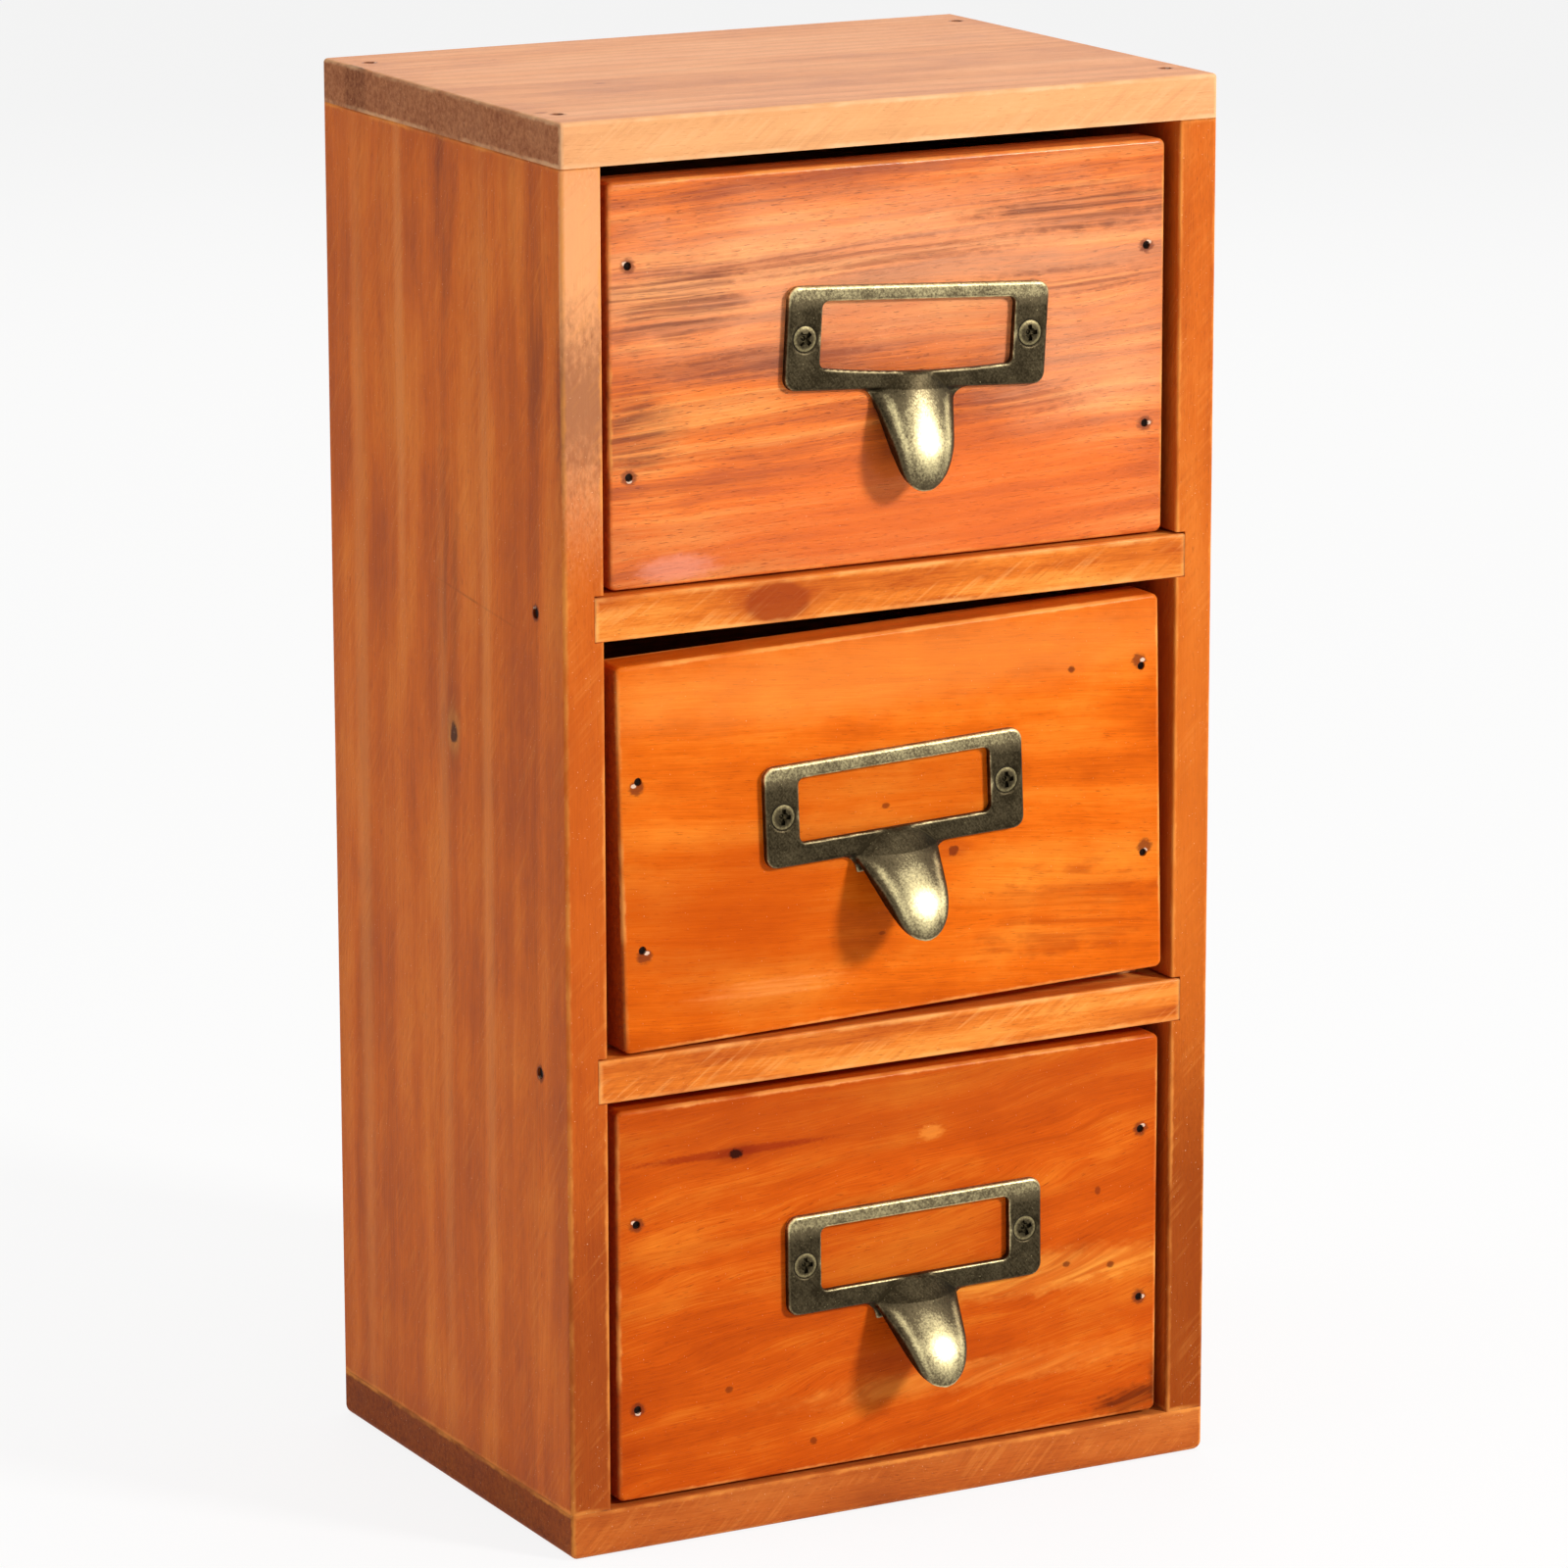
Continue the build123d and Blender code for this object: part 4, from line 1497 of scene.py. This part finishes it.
DRAWERS = (
    Drawer(
        "bottom_drawer",
        BOTTOM_FRONT_WOOD,
        20,
        spins=(4.0, 22.0),
        marks=(
            Patch(0.0, 88.0, 70.0, 9.0, "B24A12", 0.45, 0.3, 0.6),
            Patch(-38.0, 82.9, 21.0, 0.9, "8A1E0C", 0.6, 0.45, 0.4),
            Knot(-37.2, 82.5, 1.5, "2C0D06", "7E1F0A", 0.95),
            Patch(61.5, 13.5, 11.0, 3.4, "3A130A", 0.75, 0.6, 0.45, True),
            Patch(66.0, 18.0, 2.4, 7.0, "471A0E", 0.6, 0.5, 0.5),
            Patch(9.2, 80.8, 2.6, 1.5, "F59A3C", 0.45, 0.8, 0.4),
            Patch(36.0, 46.0, 30.0, 4.0, "FFB048", 0.55, 0.6, 0.5, True),
            Patch(20.0, 26.0, 40.0, 3.0, "F9A040", 0.4, 0.6, 0.5, True),
            Patch(42.4, 46.8, 0.9, 0.6, "5A1F0B", 0.7, 0.4, 0.3),
            Patch(53.3, 45.2, 0.9, 0.7, "5A1F0B", 0.7, 0.4, 0.3),
            Patch(50.0, 62.1, 0.7, 0.9, "6B260E", 0.6, 0.4, 0.3),
            Patch(-39.0, 31.5, 0.9, 0.7, "5A1F0B", 0.6, 0.4, 0.3),
            Patch(-19.0, 17.1, 0.8, 0.8, "5A1F0B", 0.6, 0.4, 0.3),
        ),
    ),
    Drawer(
        "middle_drawer",
        MIDDLE_FRONT_WOOD,
        40,
        tilt=1.25,
        spins=(-4.0, 3.0),
        marks=(
            Patch(-38.0, 134.0, 30.0, 18.0, "B84204", 0.55, 0.5, 0.7),
            Patch(0.0, 182.0, 70.0, 8.0, "FA9A48", 0.35, 0.4, 0.6),
            Knot(13.6, 140.9, 1.3, "6A230C", "A83A0E", 0.75),
            Patch(42.6, 176.1, 0.8, 0.7, "5F210C", 0.8, 0.4, 0.3),
            Patch(-2.3, 152.9, 0.9, 0.6, "6B2409", 0.8, 0.4, 0.3),
            Patch(-3.7, 125.8, 0.8, 0.4, "8A3210", 0.6, 0.4, 0.3),
            Patch(-31.0, 117.9, 16.0, 2.0, "FFA455", 0.4, 0.6, 0.6, True),
            Patch(43.0, 124.0, 19.0, 9.0, "A83E0A", 0.45, 1.2, 0.4, True),
        ),
    ),
    Drawer(
        "top_drawer",
        TOP_FRONT_WOOD,
        60,
        spins=(43.0, 2.0),
        marks=(
            # Painted sheen: these two pale pink patches on the upper and right part of the front stand in for the
            # glossy reflection of the light there.
            Patch(2.0, 264.0, 70.0, 15.0, "FFBE8E", 0.4, 0.4, 0.7),
            Patch(48.0, 240.0, 22.0, 12.0, "FFB888", 0.35, 0.5, 0.7),
            Patch(-50.0, 262.0, 15.0, 8.0, "5C2A20", 0.65, 0.7, 0.45, True),
            Patch(-58.0, 236.0, 8.0, 7.0, "66301F", 0.65, 0.6, 0.5, True),
            Patch(44.0, 274.0, 22.0, 5.0, "66301F", 0.65, 0.8, 0.5, True),
            Patch(-8.0, 268.0, 34.0, 3.2, "783824", 0.5, 0.8, 0.5, True),
            Patch(-30.0, 248.0, 24.0, 3.0, "783824", 0.55, 0.8, 0.5, True),
            Patch(26.0, 235.0, 20.0, 3.0, "7E3520", 0.45, 0.8, 0.5, True),
            Patch(40.0, 259.0, 22.0, 3.0, "783824", 0.45, 0.8, 0.5, True),
            Patch(10.0, 216.0, 60.0, 14.0, "E86A20", 0.68, 0.4, 0.6),
            Patch(-49.8, 207.3, 8.0, 2.6, "F2A088", 0.45, 0.5, 0.5),
        ),
    ),
)


# ---------------------------------------------------------------------------------------------
# Floor, light and camera
# ---------------------------------------------------------------------------------------------


@dataclass(frozen=True)
class Lamp:
    """One soft box. Places are in metres, power in watts."""

    name: str
    place: tuple[float, float, float]
    aim: tuple[float, float, float]
    size: tuple[float, float]
    power: float

    def hang(self) -> None:
        """Makes the lamp and turns it to its aim."""
        light = bpy.data.lights.new(self.name, "AREA")
        light.shape, (light.size, light.size_y), light.energy = "RECTANGLE", self.size, self.power
        lamp = bpy.data.objects.new(self.name, light)
        bpy.context.scene.collection.objects.link(lamp)
        lamp.location = self.place
        lamp.rotation_euler = (Vector(self.aim) - Vector(self.place)).to_track_quat("-Z", "Y").to_euler()
        lamp.visible_camera = False
        log.info("lamp %s: %g W", self.name, self.power)


@dataclass(frozen=True)
class Studio:
    """A pale floor, soft lamps and the camera."""

    camera_place: tuple[float, float, float] = (-0.70445, -1.32262, 0.50082)
    camera_forward: tuple[float, float, float] = (0.45936, 0.85776, -0.23073)
    camera_up: tuple[float, float, float] = (0.11075, 0.20243, 0.97301)
    lens: float = 165.09
    floor_half: float = 12.0
    floor_share: float = 0.14
    ambient: float = 0.24
    lamps: tuple[Lamp, ...] = (
        Lamp("key", (1.0, -1.5, 0.92), (0.0, 0.0, 0.15), (0.3, 0.3), 31.0),
        Lamp("left_fill", (-1.6, 0.2, 0.75), (0.0, 0.0, 0.15), (0.9, 0.9), 7.2),
        Lamp("overhead", (0.1, -0.1, 1.6), (0.0, 0.0, 0.2), (1.2, 1.2), 7.0),
        Lamp("back_fill", (0.8, 1.4, 1.0), (0.0, 0.0, 0.2), (1.0, 0.8), 6.0),
    )

    def build(self) -> None:
        """Makes the floor, the world, the lamps and the camera."""
        self._floor()
        self._world()
        for lamp in self.lamps:
            lamp.hang()
        self._camera()

    def _floor(self) -> None:
        """Lays a pale floor that keeps the object's shadow."""
        mesh = bpy.data.meshes.new("floor")
        reach = self.floor_half
        corners = [(-reach, -reach, 0.0), (reach, -reach, 0.0), (reach, reach, 0.0), (-reach, reach, 0.0)]
        mesh.from_pydata(corners, [], [(0, 1, 2, 3)])
        floor = bpy.data.objects.new("floor", mesh)
        bpy.context.scene.collection.objects.link(floor)
        coat = Coat("pale_floor")
        sheet = coat.sheet
        matt = sheet.node("ShaderNodeBsdfDiffuse", {}, {"Color": srgb("F4F3F1")})
        glow = sheet.node("ShaderNodeEmission", {}, {"Color": (1.0, 1.0, 1.0, 1.0), "Strength": 1.0})
        shown = self._seen(sheet)
        mixed = sheet.node("ShaderNodeMixShader", {}, {0: shown * (1 - self.floor_share), 1: matt, 2: glow})
        sheet.node("ShaderNodeOutputMaterial", {}, {"Surface": mixed})
        mesh.materials.append(coat.material)

    def _world(self) -> None:
        """Lights the scene evenly, and shows white to the camera and to reflections."""
        world = bpy.data.worlds.new("studio")
        bpy.context.scene.world = world
        world.use_nodes = True
        world.node_tree.nodes.clear()
        sheet = NodeSheet(world.node_tree)
        strength = self._seen(sheet) * (1 - self.ambient) + self.ambient
        sky = sheet.node("ShaderNodeBackground", {}, {"Color": (1.0, 1.0, 1.0, 1.0), "Strength": strength})
        sheet.node("ShaderNodeOutputWorld", {}, {"Surface": sky})

    @staticmethod
    def _seen(sheet: NodeSheet) -> Term:
        """1 for rays from the camera, from gloss and through glass, and 0 for the rest."""
        camera = sheet.node("ShaderNodeLightPath", out="Is Camera Ray")
        return camera.most(sheet.beside(camera, "Is Glossy Ray")).most(sheet.beside(camera, "Is Transmission Ray"))

    def _camera(self) -> None:
        """Sets up the camera."""
        data = bpy.data.cameras.new("camera")
        data.lens, data.sensor_width, data.clip_end = self.lens, 36.0, 100.0
        camera = bpy.data.objects.new("camera", data)
        bpy.context.scene.collection.objects.link(camera)
        forward, up = Vector(self.camera_forward).normalized(), Vector(self.camera_up)
        right = forward.cross(up).normalized()
        up = right.cross(forward)
        turn = Matrix((right, up, -forward)).transposed().to_4x4()
        camera.matrix_world = Matrix.Translation(self.camera_place) @ turn
        bpy.context.scene.camera = camera
        bpy.context.scene.view_settings.view_transform = "Standard"
        log.info("camera: %g mm lens", self.lens)


def main() -> None:
    """Builds the cabinet's looks and the studio."""
    logging.basicConfig(level=logging.INFO, format="%(name)s: %(message)s")
    brass, bronze, nail = ANTIQUE_BRASS.dress(), SCREW_BRONZE.dress(), NAIL_STEEL.dress()
    Case().build(nail)
    for drawer in DRAWERS:
        drawer.build(brass, bronze, nail)
    Studio().build()


if __name__ == "__main__":
    main()
